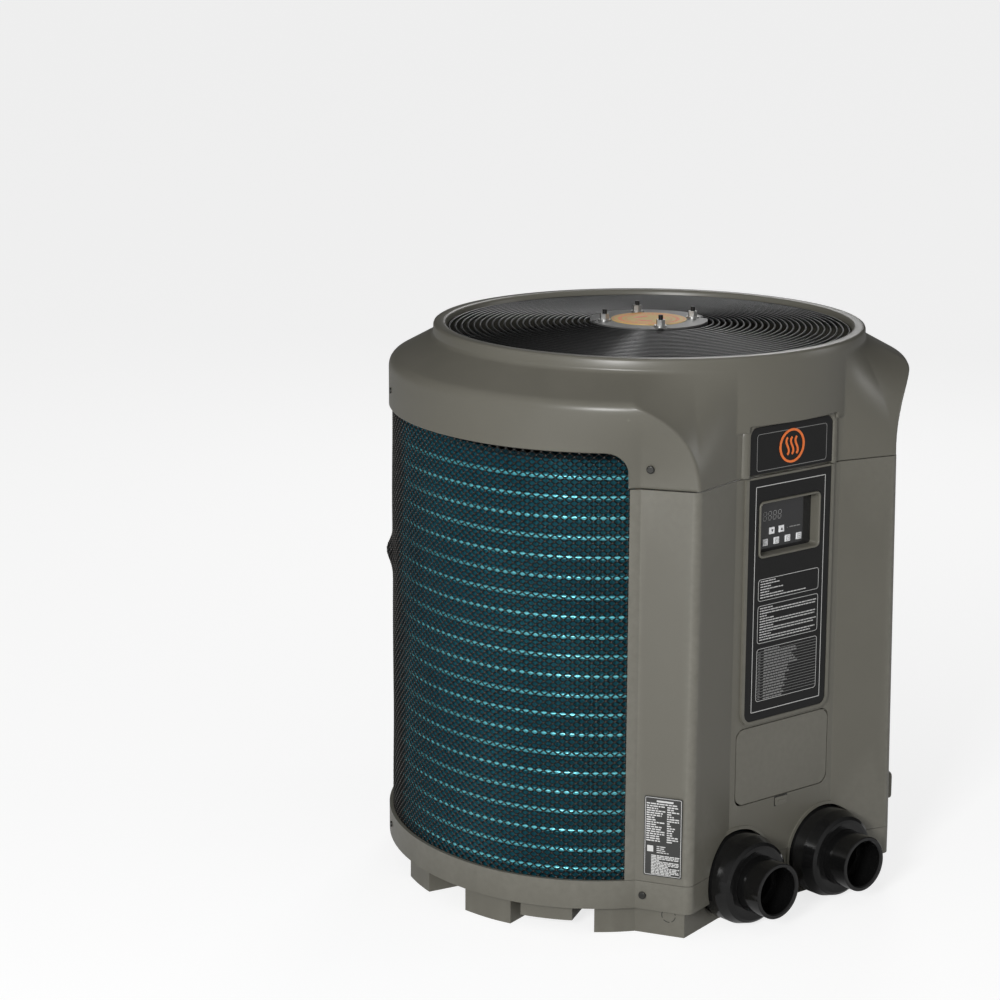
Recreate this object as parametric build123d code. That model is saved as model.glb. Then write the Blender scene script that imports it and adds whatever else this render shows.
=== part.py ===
"""Round swimming-pool heat pump: a drum-shaped outdoor unit with the fan on top.

Frame: millimetres, +Z up, origin on the drum's axis at the level of the feet.
The control panel and the two water unions face -Y. Plan angles are measured
from the front (-Y), positive towards +X.

A moulded base pan carries a C-shaped evaporator coil behind a net, a moulded
front panel with the controls, and a moulded top cover with the fan guard.
Compressor, titanium exchanger, refrigerant lines and electrical parts stand
inside. Each function makes one sub-part or one family of sub-parts.
"""

from build123d import *
import math
import os

os.makedirs("parts", exist_ok=True)

# ------------------------------------------------------------ general fits
GAP = 0.6                # between moulded parts that meet
SLIP = 0.35              # between parts that move past each other
FIT = 0.05               # radial clearance of pins and pipes in their bores
WALL = 4.0               # moulded wall

# ------------------------------------------------------------ heights
RIM_Z = 37.0             # underside of the pan's rim
RIM_TOP = 74.0           # top of the pan's rim, where the front panel starts
SEAM_Z = 581.0           # the front panel meets the top cover
SKIRT_Z = 627.0          # lower edge of the cover's skirt above the coil
CREASE_Z = 693.0         # the skirt ends and the shoulder starts
COLLAR_Z = 721.0         # foot of the raised collar
TOP_Z = 737.0            # top of the collar
THROAT_LOW_Z = 691.0     # lower edge of the throat round the fan

# ------------------------------------------------------------ plan of the casing
BODY_R = 345.0           # drum
SKIRT_R = 343.0          # cover's skirt
SHOULDER_R = 336.0       # cover at the crease
COLLAR_R = 284.5         # collar, outside
THROAT_R = 267.0         # collar, inside
FLANK_FROM = 80.0        # angle at which the drum turns into the flank
WAIST_X, WAIST_Y = 217.0, -228.0    # end of the coil, edge of the front panel
CORNER_X, CORNER_Y = 182.0, -292.0  # front corner at the bottom
CORNER_TOP_X, CORNER_TOP_Y = 176.0, -288.0   # and at the seam with the cover
CORNER_R = 12.0
FLAT_HALF = 92.0         # half width of the flat middle of the front
FRONT_Y = -267.0         # the flat middle
PANEL_HALF = 46.0        # half angle that the front panel covers
WINDOW_R = 27.0          # upper front corner of the coil window

# ------------------------------------------------------------ base pan
PAN_FLOOR_Z = 20.0
PAN_WALL = 5.0
FOOT_INSET = 14.0        # the feet stand back from the rim
FOOT_DEPTH = 44.0
FRONT_FOOT_HALF = 53.0   # half angle of the foot that runs along the front
SIDE_FEET = ((79.0, 13.0), (105.0, 11.0), (135.0, 14.0), (165.0, 14.0))
STEP_FOOT = (64.0, 12.0)
STEP_FOOT_H = 15.0

# ------------------------------------------------------------ evaporator
NET_INSET, NET_THICK = 6.5, 1.2
FIN_INSET, FIN_THICK = 11.0, 26.0
COIL_TURN = 3.0          # the coil stops this many degrees before the waist
TUBE_PITCH = 25.4
TUBE_R = 4.8
TUBE_ROWS = 22
COIL_Z = 48.0            # bottom of the fins
HEADER_TOP = 500.0

# ------------------------------------------------------------ fan
GUARD_R = 263.0          # outermost ring
RING_PITCH = 8.1
RINGS = 24
WIRE_R = 1.5
SPOKES = 8
SPOKE_DROP = 2.3         # spokes lie this much below the rings they are welded to
GUARD_Z = 729.0          # level of the outermost ring
DOME = 7.0               # the guard rises this much to the hub plate
PLATE_R, PLATE_T = 77.5, 2.0
PLATE_NOTCH_R = 9.0
LABEL_R = 50.0
STUD_R, STUD_CIRCLE_R, STUD_TURN = 3.0, 60.0, 62.5
NUT_H, NUT_ACROSS_R = 9.0, 6.0
MOTOR_R, MOTOR_H = 72.0, 92.0
SHAFT_R, SHAFT_L = 6.35, 46.0
FAN_R, BLADES = 248.0, 4
FAN_HUB_R, FAN_HUB_H = 34.0, 26.0
BLADE_T = 2.0

# ------------------------------------------------------------ water side
UNION_X, UNION_Z = 78.0, 60.0
SOCKET_FACE_Y = -345.0   # mouth of the pipe socket
SOCKET_R = 36.5
PIPE_SOCKET_R = 30.3     # takes a 60.3 mm pipe
SOCKET_DEPTH = 38.0
WATERWAY_R = 25.0
NUT_R = 58.0
NUT_BACK_Y, NUT_FRONT_Y = -260.0, -308.0
NUT_LIP = 8.0
NUT_RIBS, RIB_R = 12, 3.0
THREAD_R = 49.0
UNION_HOLE_R = 61.0
WATER_PIPE_R, WATER_PIPE_WALL = 24.0, 3.0
SEAL_T = 3.0

# ------------------------------------------------------------ front controls
FRAME_HALF, FRAME_LOW, FRAME_TOP = 78.0, 258.0, 650.0
FRAME_PROUD = 3.5
FRAME_LIP = 5.0
LABEL_T = 0.8
BADGE_LOW, BADGE_TOP = 584.5, 644.0
LABEL_LOW, LABEL_TOP = 263.0, 578.0
RECESS_HALF, RECESS_LOW, RECESS_TOP = 52.0, 477.0, 546.0
RECESS_DEPTH = 14.0
RECESS_WALL = 2.5
KEY = 8.6
KEY_TRAVEL = 0.8
KEY_PROUD = 1.6
KEYS = {
    "key_down": (-19.0, 504.5),
    "key_up": (-2.0, 504.5),
    "key_power": (-30.5, 490.5),
    "key_mode": (-10.5, 490.5),
    "key_timer": (9.5, 490.5),
    "key_set": (29.5, 490.5),
}

# ------------------------------------------------------------ service door
DOOR_HALF, DOOR_LOW, DOOR_TOP = 82.0, 152.5, 253.0
DOOR_T = 3.0
DOOR_R = 14.0
RIM_SCREW_Z = (RIM_Z + RIM_TOP) / 2
RIM_SCREW_SHARE = 0.14    # along the flank, from the waist
COVER_SCREW_RISE = 26.0   # above the seam
COVER_SCREW_PHI = 41.5
BACK_SCREWS_PHI = (120.0, 160.0)
DOOR_GAP = 1.4
CORNER_EASE = 2.0         # the opening's corners are tighter, so the door swings clear
HINGE_R = 1.0
CATCH_HALF, CATCH_DEPTH, CATCH_TALL = 8.0, 10.0, 8.0
LATCH_HALF, LATCH_LOW, LATCH_TOP = 10.5, 138.5, 149.5
LATCH_TRAVEL = 5.0

# ------------------------------------------------------------ inside
SHELL_X, SHELL_Y, SHELL_R, SHELL_WALL = -78.0, -20.0, 88.0, 5.0
SHELL_TOP = 420.0
UPPER_PORT_Z = 385.0
COMP_X, COMP_Y, COMP_R, COMP_TOP = 112.0, 92.0, 72.0, 372.0
COMP_FOOT_Z = 50.0
BOX_HALF, BOX_BACK_Y, BOX_LOW, BOX_TOP = 105.0, -140.0, 300.0, 560.0
BOX_FRONT_Y = -228.0
SHEET = 1.5


def polar(r, deg, z=0.0):
    """A point at radius r and plan angle deg from the front."""
    a = math.radians(deg - 90.0)
    return Vector(r * math.cos(a), r * math.sin(a), z)


def turned(vec, deg):
    """A plan vector turned anticlockwise by deg."""
    return vec.rotate(Axis.Z, deg)


def box(x0, x1, y0, y1, z0, z1):
    """A box from its limits."""
    size = Box(x1 - x0, y1 - y0, z1 - z0)
    return Pos((x0 + x1) / 2, (y0 + y1) / 2, (z0 + z1) / 2) * size


def plate(half, z0, z1, y0, y1, r):
    """An upright plate across the front, with its corners rounded."""
    plane = Plane(origin=(0, y0, (z0 + z1) / 2), x_dir=(1, 0, 0), z_dir=(0, 1, 0))
    return extrude(plane * RectangleRounded(2 * half, z1 - z0, r), y1 - y0)


def rod(start, end, r):
    """A round bar between two points."""
    start, end = Vector(*start), Vector(*end)
    plane = Plane(origin=start, z_dir=end - start)
    return extrude(plane * Circle(r), (end - start).length)


def spun(profile, axis=Axis.Z):
    """A closed outline of (radius, height) points turned about Z."""
    face = Plane.XZ * make_face(Polyline(*profile, close=True))
    return revolve(face, axis)


def pipe(points, bend, r, wall=0.0):
    """A bent pipe or bar along straight runs joined by bends."""
    path = FilletPolyline(*points, radius=bend)
    section = Circle(r) - Circle(r - wall) if wall else Circle(r)
    return sweep(Plane(origin=path @ 0, z_dir=path % 0) * section, path)


def wedge(from_deg, to_deg, z0, z1):
    """A sector of the plan, taller than it needs to be wide, for cutting."""
    reach = 2 * BODY_R
    step = (to_deg - from_deg) / 4
    rim = [polar(reach, from_deg + step * i) for i in range(5)]
    return Pos(0, 0, z0) * extrude(make_face(Polyline(Vector(0, 0, 0), *rim, close=True)), z1 - z0)


# ------------------------------------------------------------ plan outlines
JOINT = polar(BODY_R, FLANK_FROM)
WAIST = Vector(WAIST_X, WAIST_Y, 0)
ALONG = WAIST.dot(JOINT.normalized())
FLANK_R = (WAIST.dot(WAIST) - 2 * ALONG * BODY_R + BODY_R ** 2) / (2 * (BODY_R - ALONG))
FLANK_C = JOINT * (1 - FLANK_R / BODY_R)
TO_JOINT = JOINT.normalized()
TO_WAIST = (WAIST - FLANK_C).normalized()
WAIST_PHI = math.degrees(math.atan2(WAIST_X, -WAIST_Y))
CORNER_PHI = math.degrees(math.atan2(CORNER_TOP_X, -CORNER_TOP_Y))


def flip(point):
    """The same point on the other side of the drum."""
    return Vector(-point.X, point.Y, point.Z)


def flank_arc(inset, stop=0.0):
    """End, middle and joint of the +X flank, moved inwards by inset."""
    end = turned(TO_WAIST, stop)
    mid = (end + TO_JOINT).normalized()
    return [FLANK_C + way * (FLANK_R - inset) for way in (end, mid, TO_JOINT)]


def c_run(inset, stop):
    """Three arcs round the back of the drum, from the +X end to the -X end."""
    end, mid, joint = flank_arc(inset, stop)
    back = Vector(0, BODY_R - inset, 0)
    right = ThreePointArc(end, mid, joint)
    drum = ThreePointArc(joint, back, flip(joint))
    left = ThreePointArc(flip(joint), flip(mid), flip(end))
    return right, drum, left


def c_band(inset, thick, stop, z0, z1):
    """A C-shaped wall round the back of the drum."""
    outer = c_run(inset, stop)
    inner = c_run(inset + thick, stop)
    sides = [Line(outer[0] @ 0, inner[0] @ 0), Line(outer[2] @ 1, inner[2] @ 1)]
    face = make_face([*outer, *inner, *sides])
    return Pos(0, 0, z0) * extrude(face, z1 - z0)


def outline(corner_x=CORNER_X, corner_y=CORNER_Y, inset=0.0):
    """The casing's whole plan, as a face."""
    right, drum, left = c_run(0.0, 0.0)
    corner = Vector(corner_x, corner_y, 0)
    flat = Vector(FLAT_HALF, FRONT_Y, 0)
    front = Polyline(right @ 0, corner, flat, flip(flat), flip(corner), left @ 1)
    face = make_face([right, drum, left, *front.edges()])
    corners = [v for v in face.vertices() if abs(abs(v.X) - corner_x) < 1 and abs(v.Y - corner_y) < 1]
    face = fillet(corners, CORNER_R)
    return offset(face, amount=-inset, kind=Kind.INTERSECTION) if inset else face


def prism(face, z0, z1):
    """A plan face raised between two heights."""
    return Pos(0, 0, z0) * extrude(face, z1 - z0)


# ------------------------------------------------------------ casing
def union_places():
    """Plan and height of the two unions: water in on -X, water out on +X."""
    return ((-UNION_X, UNION_Z), (UNION_X, UNION_Z))


def union_rings():
    """Raised rings round the union holes."""
    depth = 2 * WALL
    rings = [rod((x, FRONT_Y - 2, z), (x, FRONT_Y + depth - 2, z), UNION_HOLE_R + WALL) for x, z in union_places()]
    return rings[0] + rings[1]


def union_holes():
    """What the nuts and the water pipes need free in the casing."""
    tool = None
    for x, z in union_places():
        nut = rod((x, CORNER_Y - WALL, z), (x, NUT_BACK_Y + WALL, z), UNION_HOLE_R)
        trough = rod((x, NUT_BACK_Y, z), (x, FRONT_Y + 2.5 * FOOT_DEPTH, z), WATER_PIPE_R + 14)
        both = nut + trough
        tool = both if tool is None else tool + both
    return tool


def base_pan():
    """Tray with a rim, a sunk floor and feet under the rim."""
    well = FOOT_INSET + FOOT_DEPTH
    rim = prism(outline(), RIM_Z, RIM_TOP) - prism(outline(inset=WALL + 1), RIM_Z, RIM_TOP)
    ledge = prism(outline(), RIM_Z, RIM_Z + PAN_WALL) - prism(outline(inset=well), RIM_Z, RIM_Z + PAN_WALL)
    top = RIM_Z + PAN_WALL
    drop = prism(outline(inset=well), PAN_FLOOR_Z, top)
    drop -= prism(outline(inset=well + PAN_WALL), PAN_FLOOR_Z + PAN_WALL, top)
    band = prism(outline(inset=FOOT_INSET), 0, RIM_Z) - prism(outline(inset=well), 0, RIM_Z)
    feet = band & wedge(-FRONT_FOOT_HALF, FRONT_FOOT_HALF, 0, RIM_Z)
    for middle, width in SIDE_FEET:
        for side in (-1, 1):
            a = side * middle - width / 2
            feet += band & wedge(a, a + width, 0, RIM_Z)
    middle, width = STEP_FOOT
    for side in (-1, 1):
        a = side * middle - width / 2
        feet += band & wedge(a, a + width, STEP_FOOT_H, RIM_Z)
    lower_rings = union_rings() & box(-BODY_R, BODY_R, -BODY_R, 0, RIM_Z, RIM_TOP)
    return rim + ledge + drop + feet + lower_rings - union_holes()


def panel_solid(inset, z0, z1):
    """The tapering body of the front panel, moved inwards by inset."""
    low = Pos(0, 0, z0) * outline(inset=inset)
    high = Pos(0, 0, z1) * outline(CORNER_TOP_X, CORNER_TOP_Y, inset)
    return Solid.make_loft([low.wire(), high.wire()], ruled=True)


def label_frame(z0, z1):
    """Half of the raised frame that runs up the middle of the front."""
    y0, y1 = FRONT_Y - FRAME_PROUD, FRONT_Y + WALL
    tall = plate(FRAME_HALF, FRAME_LOW, FRAME_TOP, y0, y1, 16)
    return tall & box(-BODY_R, BODY_R, y0 - 1, y1 + 1, z0, z1)


def front_panel():
    """Moulded front between the coil's two ends, from the pan to the cover."""
    z0, z1 = RIM_TOP + GAP, SEAM_Z - GAP
    shell = panel_solid(0, z0, z1) - panel_solid(WALL, z0, z1)
    shell = shell & wedge(-PANEL_HALF, PANEL_HALF, z0, z1)
    frame = label_frame(FRAME_LOW, z1)
    lip = FRAME_HALF - FRAME_LIP
    pocket_y = FRONT_Y - FRAME_PROUD + 1.5
    frame -= plate(lip, LABEL_LOW - GAP, 2 * z1, FRONT_Y - 2 * FRAME_PROUD, pocket_y, 12)
    rings = union_rings() & box(-BODY_R, BODY_R, -BODY_R, 0, z0, z1)
    body = shell + frame + rings - union_holes()
    hole = RECESS_HALF + RECESS_WALL + SLIP
    body -= plate(hole, RECESS_LOW - RECESS_WALL - SLIP, RECESS_TOP + RECESS_WALL + SLIP,
                  FRONT_Y - 2 * FRAME_PROUD, FRONT_Y + 2 * WALL, 8)
    body -= plate(DOOR_HALF + DOOR_GAP, DOOR_LOW - DOOR_GAP, DOOR_TOP + DOOR_GAP,
                  FRONT_Y - 1, FRONT_Y + 2 * WALL, DOOR_R - CORNER_EASE)
    reach = DOOR_HALF + 4 * DOOR_GAP
    body -= rod((-reach, hinge_y(), hinge_z()), (reach, hinge_y(), hinge_z()), HINGE_R + FIT)
    body -= box(-4, 4, FRONT_Y - 1, FRONT_Y + 2 * WALL, LATCH_LOW, LATCH_TOP - 1)
    return body


def front_radius(phi):
    """Radius of the front face at plan angle phi; the wing is carried on past its corner."""
    a = math.radians(phi)
    flat = -FRONT_Y / math.cos(a)
    run_x, run_y = CORNER_TOP_X - FLAT_HALF, FRONT_Y - CORNER_TOP_Y
    lean = math.cos(a) * run_x - math.sin(a) * run_y
    if lean <= 0.05 * run_x:
        return 4 * BODY_R
    t = (-math.sin(a) * FRONT_Y - math.cos(a) * FLAT_HALF) / lean
    if t <= 0:
        return flat
    return math.hypot(FLAT_HALF + run_x * t, FRONT_Y - run_y * t)


def side_radius(phi):
    """Radius of the drum, the flank or the run from the waist to the corner."""
    if phi >= FLANK_FROM:
        return BODY_R
    way = polar(1.0, phi)
    if phi >= WAIST_PHI:
        along = way.dot(FLANK_C)
        return along + math.sqrt(along ** 2 - FLANK_C.dot(FLANK_C) + FLANK_R ** 2)
    run = Vector(CORNER_TOP_X - WAIST_X, CORNER_TOP_Y - WAIST_Y, 0)
    across = way.cross(run).Z
    return WAIST.cross(run).Z / across


def drum_radius(z):
    """Skirt, rounded edge and sloping shoulder of the cover, away from the front."""
    round_h = 17.0
    if z <= CREASE_Z - round_h:
        return SKIRT_R
    if z <= CREASE_Z:
        t = (z - CREASE_Z + round_h) / round_h
        return SKIRT_R - (SKIRT_R - SHOULDER_R) * t * t
    t = (z - CREASE_Z) / (COLLAR_Z - CREASE_Z)
    return SHOULDER_R + (COLLAR_R - SHOULDER_R) * t


def sweep_radius(phi, z):
    """Front face swept towards the collar: early at the corners, late in the middle."""
    rise = min(max((z - SEAM_Z) / (COLLAR_Z - SEAM_Z), 0.0), 1.0)
    late = 4.0 - 2.5 * min(phi / CORNER_PHI, 1.0)
    base = front_radius(phi)
    return base + (COLLAR_R - base) * rise ** late


def cover_radius(phi, z):
    """Outside of the cover: the drum with its flanks, cut by the sweep of the front."""
    rise = (z - SEAM_Z) / (CREASE_Z - SEAM_Z)
    rise = min(max(rise, 0.0), 1.0)
    fade = 1 - rise * rise * (3 - 2 * rise)
    side = drum_radius(z) - (BODY_R - side_radius(phi)) * fade
    return min(side, sweep_radius(phi, z))


COVER_SHARES = (0, 0.114, 0.243, 0.371, 0.493, 0.586, 0.664, 0.721, 0.764, 0.8, 0.843, 0.886, 0.929, 0.964)
COVER_LEVELS = [SEAM_Z + share * (COLLAR_Z - SEAM_Z) for share in COVER_SHARES]


def crease_angle(z):
    """Plan angle at which the sweep of the front meets the drum or the flank."""
    low, high = 20.0, FLANK_FROM
    for _ in range(40):
        middle = (low + high) / 2
        if sweep_radius(middle, z) > cover_radius(middle, z):
            high = middle
        else:
            low = middle
    return (low + high) / 2


def cover_ring(z, inset, drop):
    """Plan outline of the cover at one level: front sweep, two flanks and the drum."""
    crease = crease_angle(z)
    count = 16
    across = [-crease + 2 * crease * i / count for i in range(count + 1)]
    front = [polar(cover_radius(abs(phi), z) - inset, phi, z - drop) for phi in across]
    waist = max(WAIST_PHI, crease + 3)
    near = [crease + (waist - crease) * i / 3 for i in range(4)]
    far = [waist + (FLANK_FROM - waist) * i / 6 for i in range(7)]
    near = [polar(cover_radius(phi, z) - inset, phi, z - drop) for phi in near]
    far = [polar(cover_radius(phi, z) - inset, phi, z - drop) for phi in far]
    back = Vector(0, cover_radius(180, z) - inset, z - drop)
    edges = [
        Spline(*front),
        Spline(*near),
        Spline(*far),
        ThreePointArc(far[-1], back, flip(far[-1])),
        Spline(*[flip(p) for p in far[::-1]]),
        Spline(*[flip(p) for p in near[::-1]]),
    ]
    return Wire(edges)


def cover_body(inset):
    """The cover as a solid up to the foot of its collar, moved inwards by inset."""
    rings = []
    for z in COVER_LEVELS:
        slope = min(max((z - SKIRT_Z - 2 * WALL) / (CREASE_Z - SKIRT_Z), 0.0), 1.0)
        drop = inset * slope if z > COVER_LEVELS[0] else inset
        rings.append(cover_ring(z, inset, drop))
    top = Pos(0, 0, COLLAR_Z - inset) * Circle(COLLAR_R - inset).wire()
    top = cover_collar_ring(COLLAR_Z - inset, COLLAR_R - inset)
    return Solid.make_loft([*rings, top], ruled=True)


def cover_collar_ring(z, r):
    """A circle split into the same four edges as the outlines below it."""
    crease = crease_angle(COVER_LEVELS[-1])
    waist = max(WAIST_PHI, crease + 3)
    stops = [-crease, crease, waist, FLANK_FROM, 360 - FLANK_FROM, 360 - waist, 360 - crease]
    arcs = []
    for start, end in zip(stops[:-1], stops[1:]):
        arcs.append(ThreePointArc(*[polar(r, phi, z) for phi in (start, (start + end) / 2, end)]))
    return Wire(arcs)


def top_cover():
    """Moulded cover: skirt, shoulder, front sweep and the collar round the fan."""
    body = cover_body(0) - cover_body(WALL)
    body -= Pos(0, 0, COLLAR_Z - WALL) * Cylinder(COLLAR_R - WALL, 4 * WALL)
    lip = 3.0
    top = TOP_Z - WALL
    collar = [
        (COLLAR_R, COLLAR_Z - WALL / 2),
        (COLLAR_R, TOP_Z - lip),
        (COLLAR_R - lip, TOP_Z),
        (THROAT_R + lip, TOP_Z),
        (THROAT_R, TOP_Z - lip),
        (THROAT_R, THROAT_LOW_Z),
        (THROAT_R + WALL, THROAT_LOW_Z),
        (THROAT_R + WALL, top),
        (COLLAR_R - WALL, top),
        (COLLAR_R - WALL, COLLAR_Z - WALL / 2),
    ]
    body += spun(collar)
    opening = wedge(PANEL_HALF + 0.4, 360 - PANEL_HALF - 0.4, SEAM_Z - 20, SKIRT_Z)
    top_edges = [e for e in opening.edges().filter_by(GeomType.LINE) if e.center().Z > SKIRT_Z - 1]
    ends = [e for e in top_edges if min(Vector(v).length for v in e.vertices()) < SKIRT_Z + 1]
    body -= fillet(ends, WINDOW_R)
    frame = label_frame(SEAM_Z, FRAME_TOP)
    lip_half = FRAME_HALF - FRAME_LIP
    pocket_y = FRONT_Y - FRAME_PROUD + 1.5
    pocket = plate(lip_half, SEAM_Z - FRAME_HALF, BADGE_TOP + GAP, FRONT_Y - 4 * FRAME_PROUD, pocket_y, 12)
    return (body + frame - pocket).fix()


def hinge_y():
    """The door's pins lie in the middle of the door's thickness."""
    return FRONT_Y + DOOR_T / 2


def hinge_z():
    """The door's pins lie just under its top edge."""
    return DOOR_TOP - DOOR_T / 2


# ------------------------------------------------------------ front fittings
def badge_plate():
    """Glossy plate in the raised frame on the cover."""
    y1 = FRONT_Y - FRAME_PROUD + 1.5
    half = FRAME_HALF - FRAME_LIP - GAP
    tall = plate(half, BADGE_LOW - 2 * FRAME_HALF, BADGE_TOP, y1 - LABEL_T, y1, 10)
    return tall & box(-half, half, y1 - 2, y1 + 1, BADGE_LOW, BADGE_TOP)


def badge_emblem():
    """Plain raised emblem: a ring with three waves of warm air."""
    y1 = FRONT_Y - FRAME_PROUD + 1.5 - LABEL_T
    middle_z = (BADGE_LOW + BADGE_TOP) / 2
    thick = 0.8
    mark = rod((0, y1 - thick, middle_z), (0, y1, middle_z), 22.0)
    mark -= rod((0, y1 - thick, middle_z), (0, y1, middle_z), 19.0)
    wave_w, wave_h = 2.6, 11.0
    for x in (-8.0, 0.0, 8.0):
        plane = Plane(origin=(x, y1, middle_z), x_dir=(1, 0, 0), z_dir=(0, -1, 0))
        bend = 2.2
        line = Spline((0, -wave_h), (bend, -wave_h / 2), (0, 0), (-bend, wave_h / 2), (0, wave_h))
        mark += extrude(plane * trace(line, wave_w), thick)
    return mark


def control_label():
    """Long printed overlay on the front panel, open round the control recess."""
    y1 = FRONT_Y - FRAME_PROUD + 1.5
    half = FRAME_HALF - FRAME_LIP - GAP
    tall = plate(half, LABEL_LOW, LABEL_TOP + FRAME_HALF, y1 - LABEL_T, y1, 10)
    tall &= box(-half, half, y1 - 2, y1 + 1, LABEL_LOW, LABEL_TOP)
    hole = RECESS_HALF + RECESS_WALL + SLIP
    return tall - plate(hole, RECESS_LOW - RECESS_WALL - SLIP, RECESS_TOP + RECESS_WALL + SLIP, y1 - 3, y1 + 1, 8)


def key_face_y():
    """Front of the key field at the bottom of the control recess."""
    return FRONT_Y - FRAME_PROUD + RECESS_DEPTH


def control_housing():
    """Deep tray that holds the keys and the display behind the panel."""
    half, low, top = RECESS_HALF + RECESS_WALL, RECESS_LOW - RECESS_WALL, RECESS_TOP + RECESS_WALL
    y0, y1 = FRONT_Y - FRAME_PROUD - 0.8, key_face_y() + RECESS_WALL
    tray = plate(half, low, top, y0, y1, 7)
    tray -= plate(RECESS_HALF, RECESS_LOW, RECESS_TOP, y0, key_face_y(), 5)
    hole = KEY / 2 + SLIP
    for x, z in KEYS.values():
        tray -= box(x - hole, x + hole, y0, y1 + 1, z - hole, z + hole)
    return tray


def key_button(x, z):
    """One key: a cap in front of the key field and a foot behind it."""
    face = key_face_y()
    half, foot = KEY / 2, KEY / 2 + 1.2
    cap = box(x - half, x + half, face - KEY_PROUD, face + RECESS_WALL + SLIP, z - half, z + half)
    cap = chamfer(cap.faces().sort_by(Axis.Y)[0].edges(), 0.4)
    back = face + RECESS_WALL + SLIP
    return cap + box(x - foot, x + foot, back, back + 1.0, z - foot, z + foot)


def control_board():
    """Circuit board behind the keys with a switch under each key and the display."""
    face = key_face_y()
    board_y = face + RECESS_WALL + SLIP + 1.0 + KEY_TRAVEL + 3.0
    board = box(-RECESS_HALF, RECESS_HALF, board_y, board_y + 1.6, RECESS_LOW, RECESS_TOP)
    for x, z in KEYS.values():
        board += rod((x, board_y - 2.6, z), (x, board_y, z), 1.8)
    return board


def service_door():
    """Flush door over the wiring box, with pins at the top and two cheeks for the latch."""
    door = plate(DOOR_HALF, DOOR_LOW, DOOR_TOP, FRONT_Y, FRONT_Y + DOOR_T, DOOR_R)
    for side in (-1, 1):
        x0, x1 = side * (DOOR_HALF - DOOR_R), side * (DOOR_HALF + 3 * DOOR_GAP)
        door += rod((x0, hinge_y(), hinge_z()), (x1, hinge_y(), hinge_z()), HINGE_R)
    catch_y0, catch_y1 = FRONT_Y + DOOR_T, FRONT_Y + DOOR_T + CATCH_DEPTH
    inner, outer = CATCH_HALF - DOOR_T + 1, CATCH_HALF
    catch = box(-outer, outer, catch_y0, catch_y1, DOOR_LOW, DOOR_LOW + CATCH_TALL)
    catch -= box(-inner, inner, catch_y0, catch_y1, DOOR_LOW, DOOR_LOW + CATCH_TALL)
    return door + catch


def latch_y0():
    """Front of the latch's tongue, behind the panel."""
    return FRONT_Y + WALL + 2.5


def latch_y1():
    """Back of the latch's tongue."""
    return latch_y0() + 3.0


def service_latch():
    """Sliding latch: a thumb plate in front, a neck through the panel, a tongue behind."""
    face = plate(LATCH_HALF, LATCH_LOW, LATCH_TOP, FRONT_Y - 1.8, FRONT_Y - 0.3, 2.0)
    ridge_z = (LATCH_LOW + LATCH_TOP) / 2
    face += box(-6, 6, FRONT_Y - 2.8, FRONT_Y - 1.8, ridge_z - 1, ridge_z + 1)
    neck_low = LATCH_LOW + LATCH_TRAVEL + SLIP
    neck = box(-3.5, 3.5, FRONT_Y - 0.3, latch_y1(), neck_low, LATCH_TOP - 1 - SLIP)
    tongue = box(-5, 5, latch_y0(), latch_y1(), neck_low, DOOR_LOW + LATCH_TRAVEL - 1)
    return face + neck + tongue


def wiring_box():
    """Open tray behind the service door, where the supply is connected."""
    half, low, top = DOOR_HALF + 5, DOOR_LOW - 2, DOOR_TOP + 6
    y0, y1 = FRONT_Y + WALL + SLIP, FRONT_Y + 66
    tray = box(-half, half, y0, y1, low - 2, top + 2)
    tray -= box(-half + 2, half - 2, y0 - 1, y1 - 2, low, top)
    return tray - box(-11, 11, y0 - 1, FRONT_Y + DOOR_T + 14, low - 3, low + 1)


def terminal_block():
    """Row of screw terminals on the back wall of the wiring box."""
    y1 = FRONT_Y + 64
    block = box(-45, 45, y1 - 22, y1, 185, 215)
    for i in range(5):
        x = -36 + 18 * i
        block -= rod((x, y1 - 23, 200), (x, y1 - 12, 200), 5)
    return block


def flank_point(share, z, out=0.0):
    """A point on the flat flank of the casing, from the waist to the corner."""
    high = (z - RIM_TOP) / (SEAM_Z - RIM_TOP)
    high = min(max(high, 0.0), 1.0)
    corner = Vector(CORNER_X, CORNER_Y, 0) * (1 - high) + Vector(CORNER_TOP_X, CORNER_TOP_Y, 0) * high
    run = corner - WAIST
    away = turned(run.normalized(), 90)
    return WAIST + run * share + away * out + Vector(0, 0, z), away


def rating_label():
    """Blank data plate on the -X flank."""
    low, high, half = 84.0, 189.0, 25.0
    middle, away = flank_point(0.5, (low + high) / 2)
    plane = Plane(origin=middle + away * 1.0, x_dir=turned(away, 90), z_dir=away)
    return mirror(extrude(plane * RectangleRounded(2 * half, high - low, 2), 0.6), Plane.YZ)


def screw(point, away, r=5.0, head=2.4):
    """Pan-head screw that stands on a face: only its head and a short shank."""
    plane = Plane(origin=point, z_dir=away)
    body = extrude(plane * Circle(r), head)
    body = fillet(body.faces().sort_by(lambda f: f.center().dot(away))[-1].edges(), head * 0.6)
    return body


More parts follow.
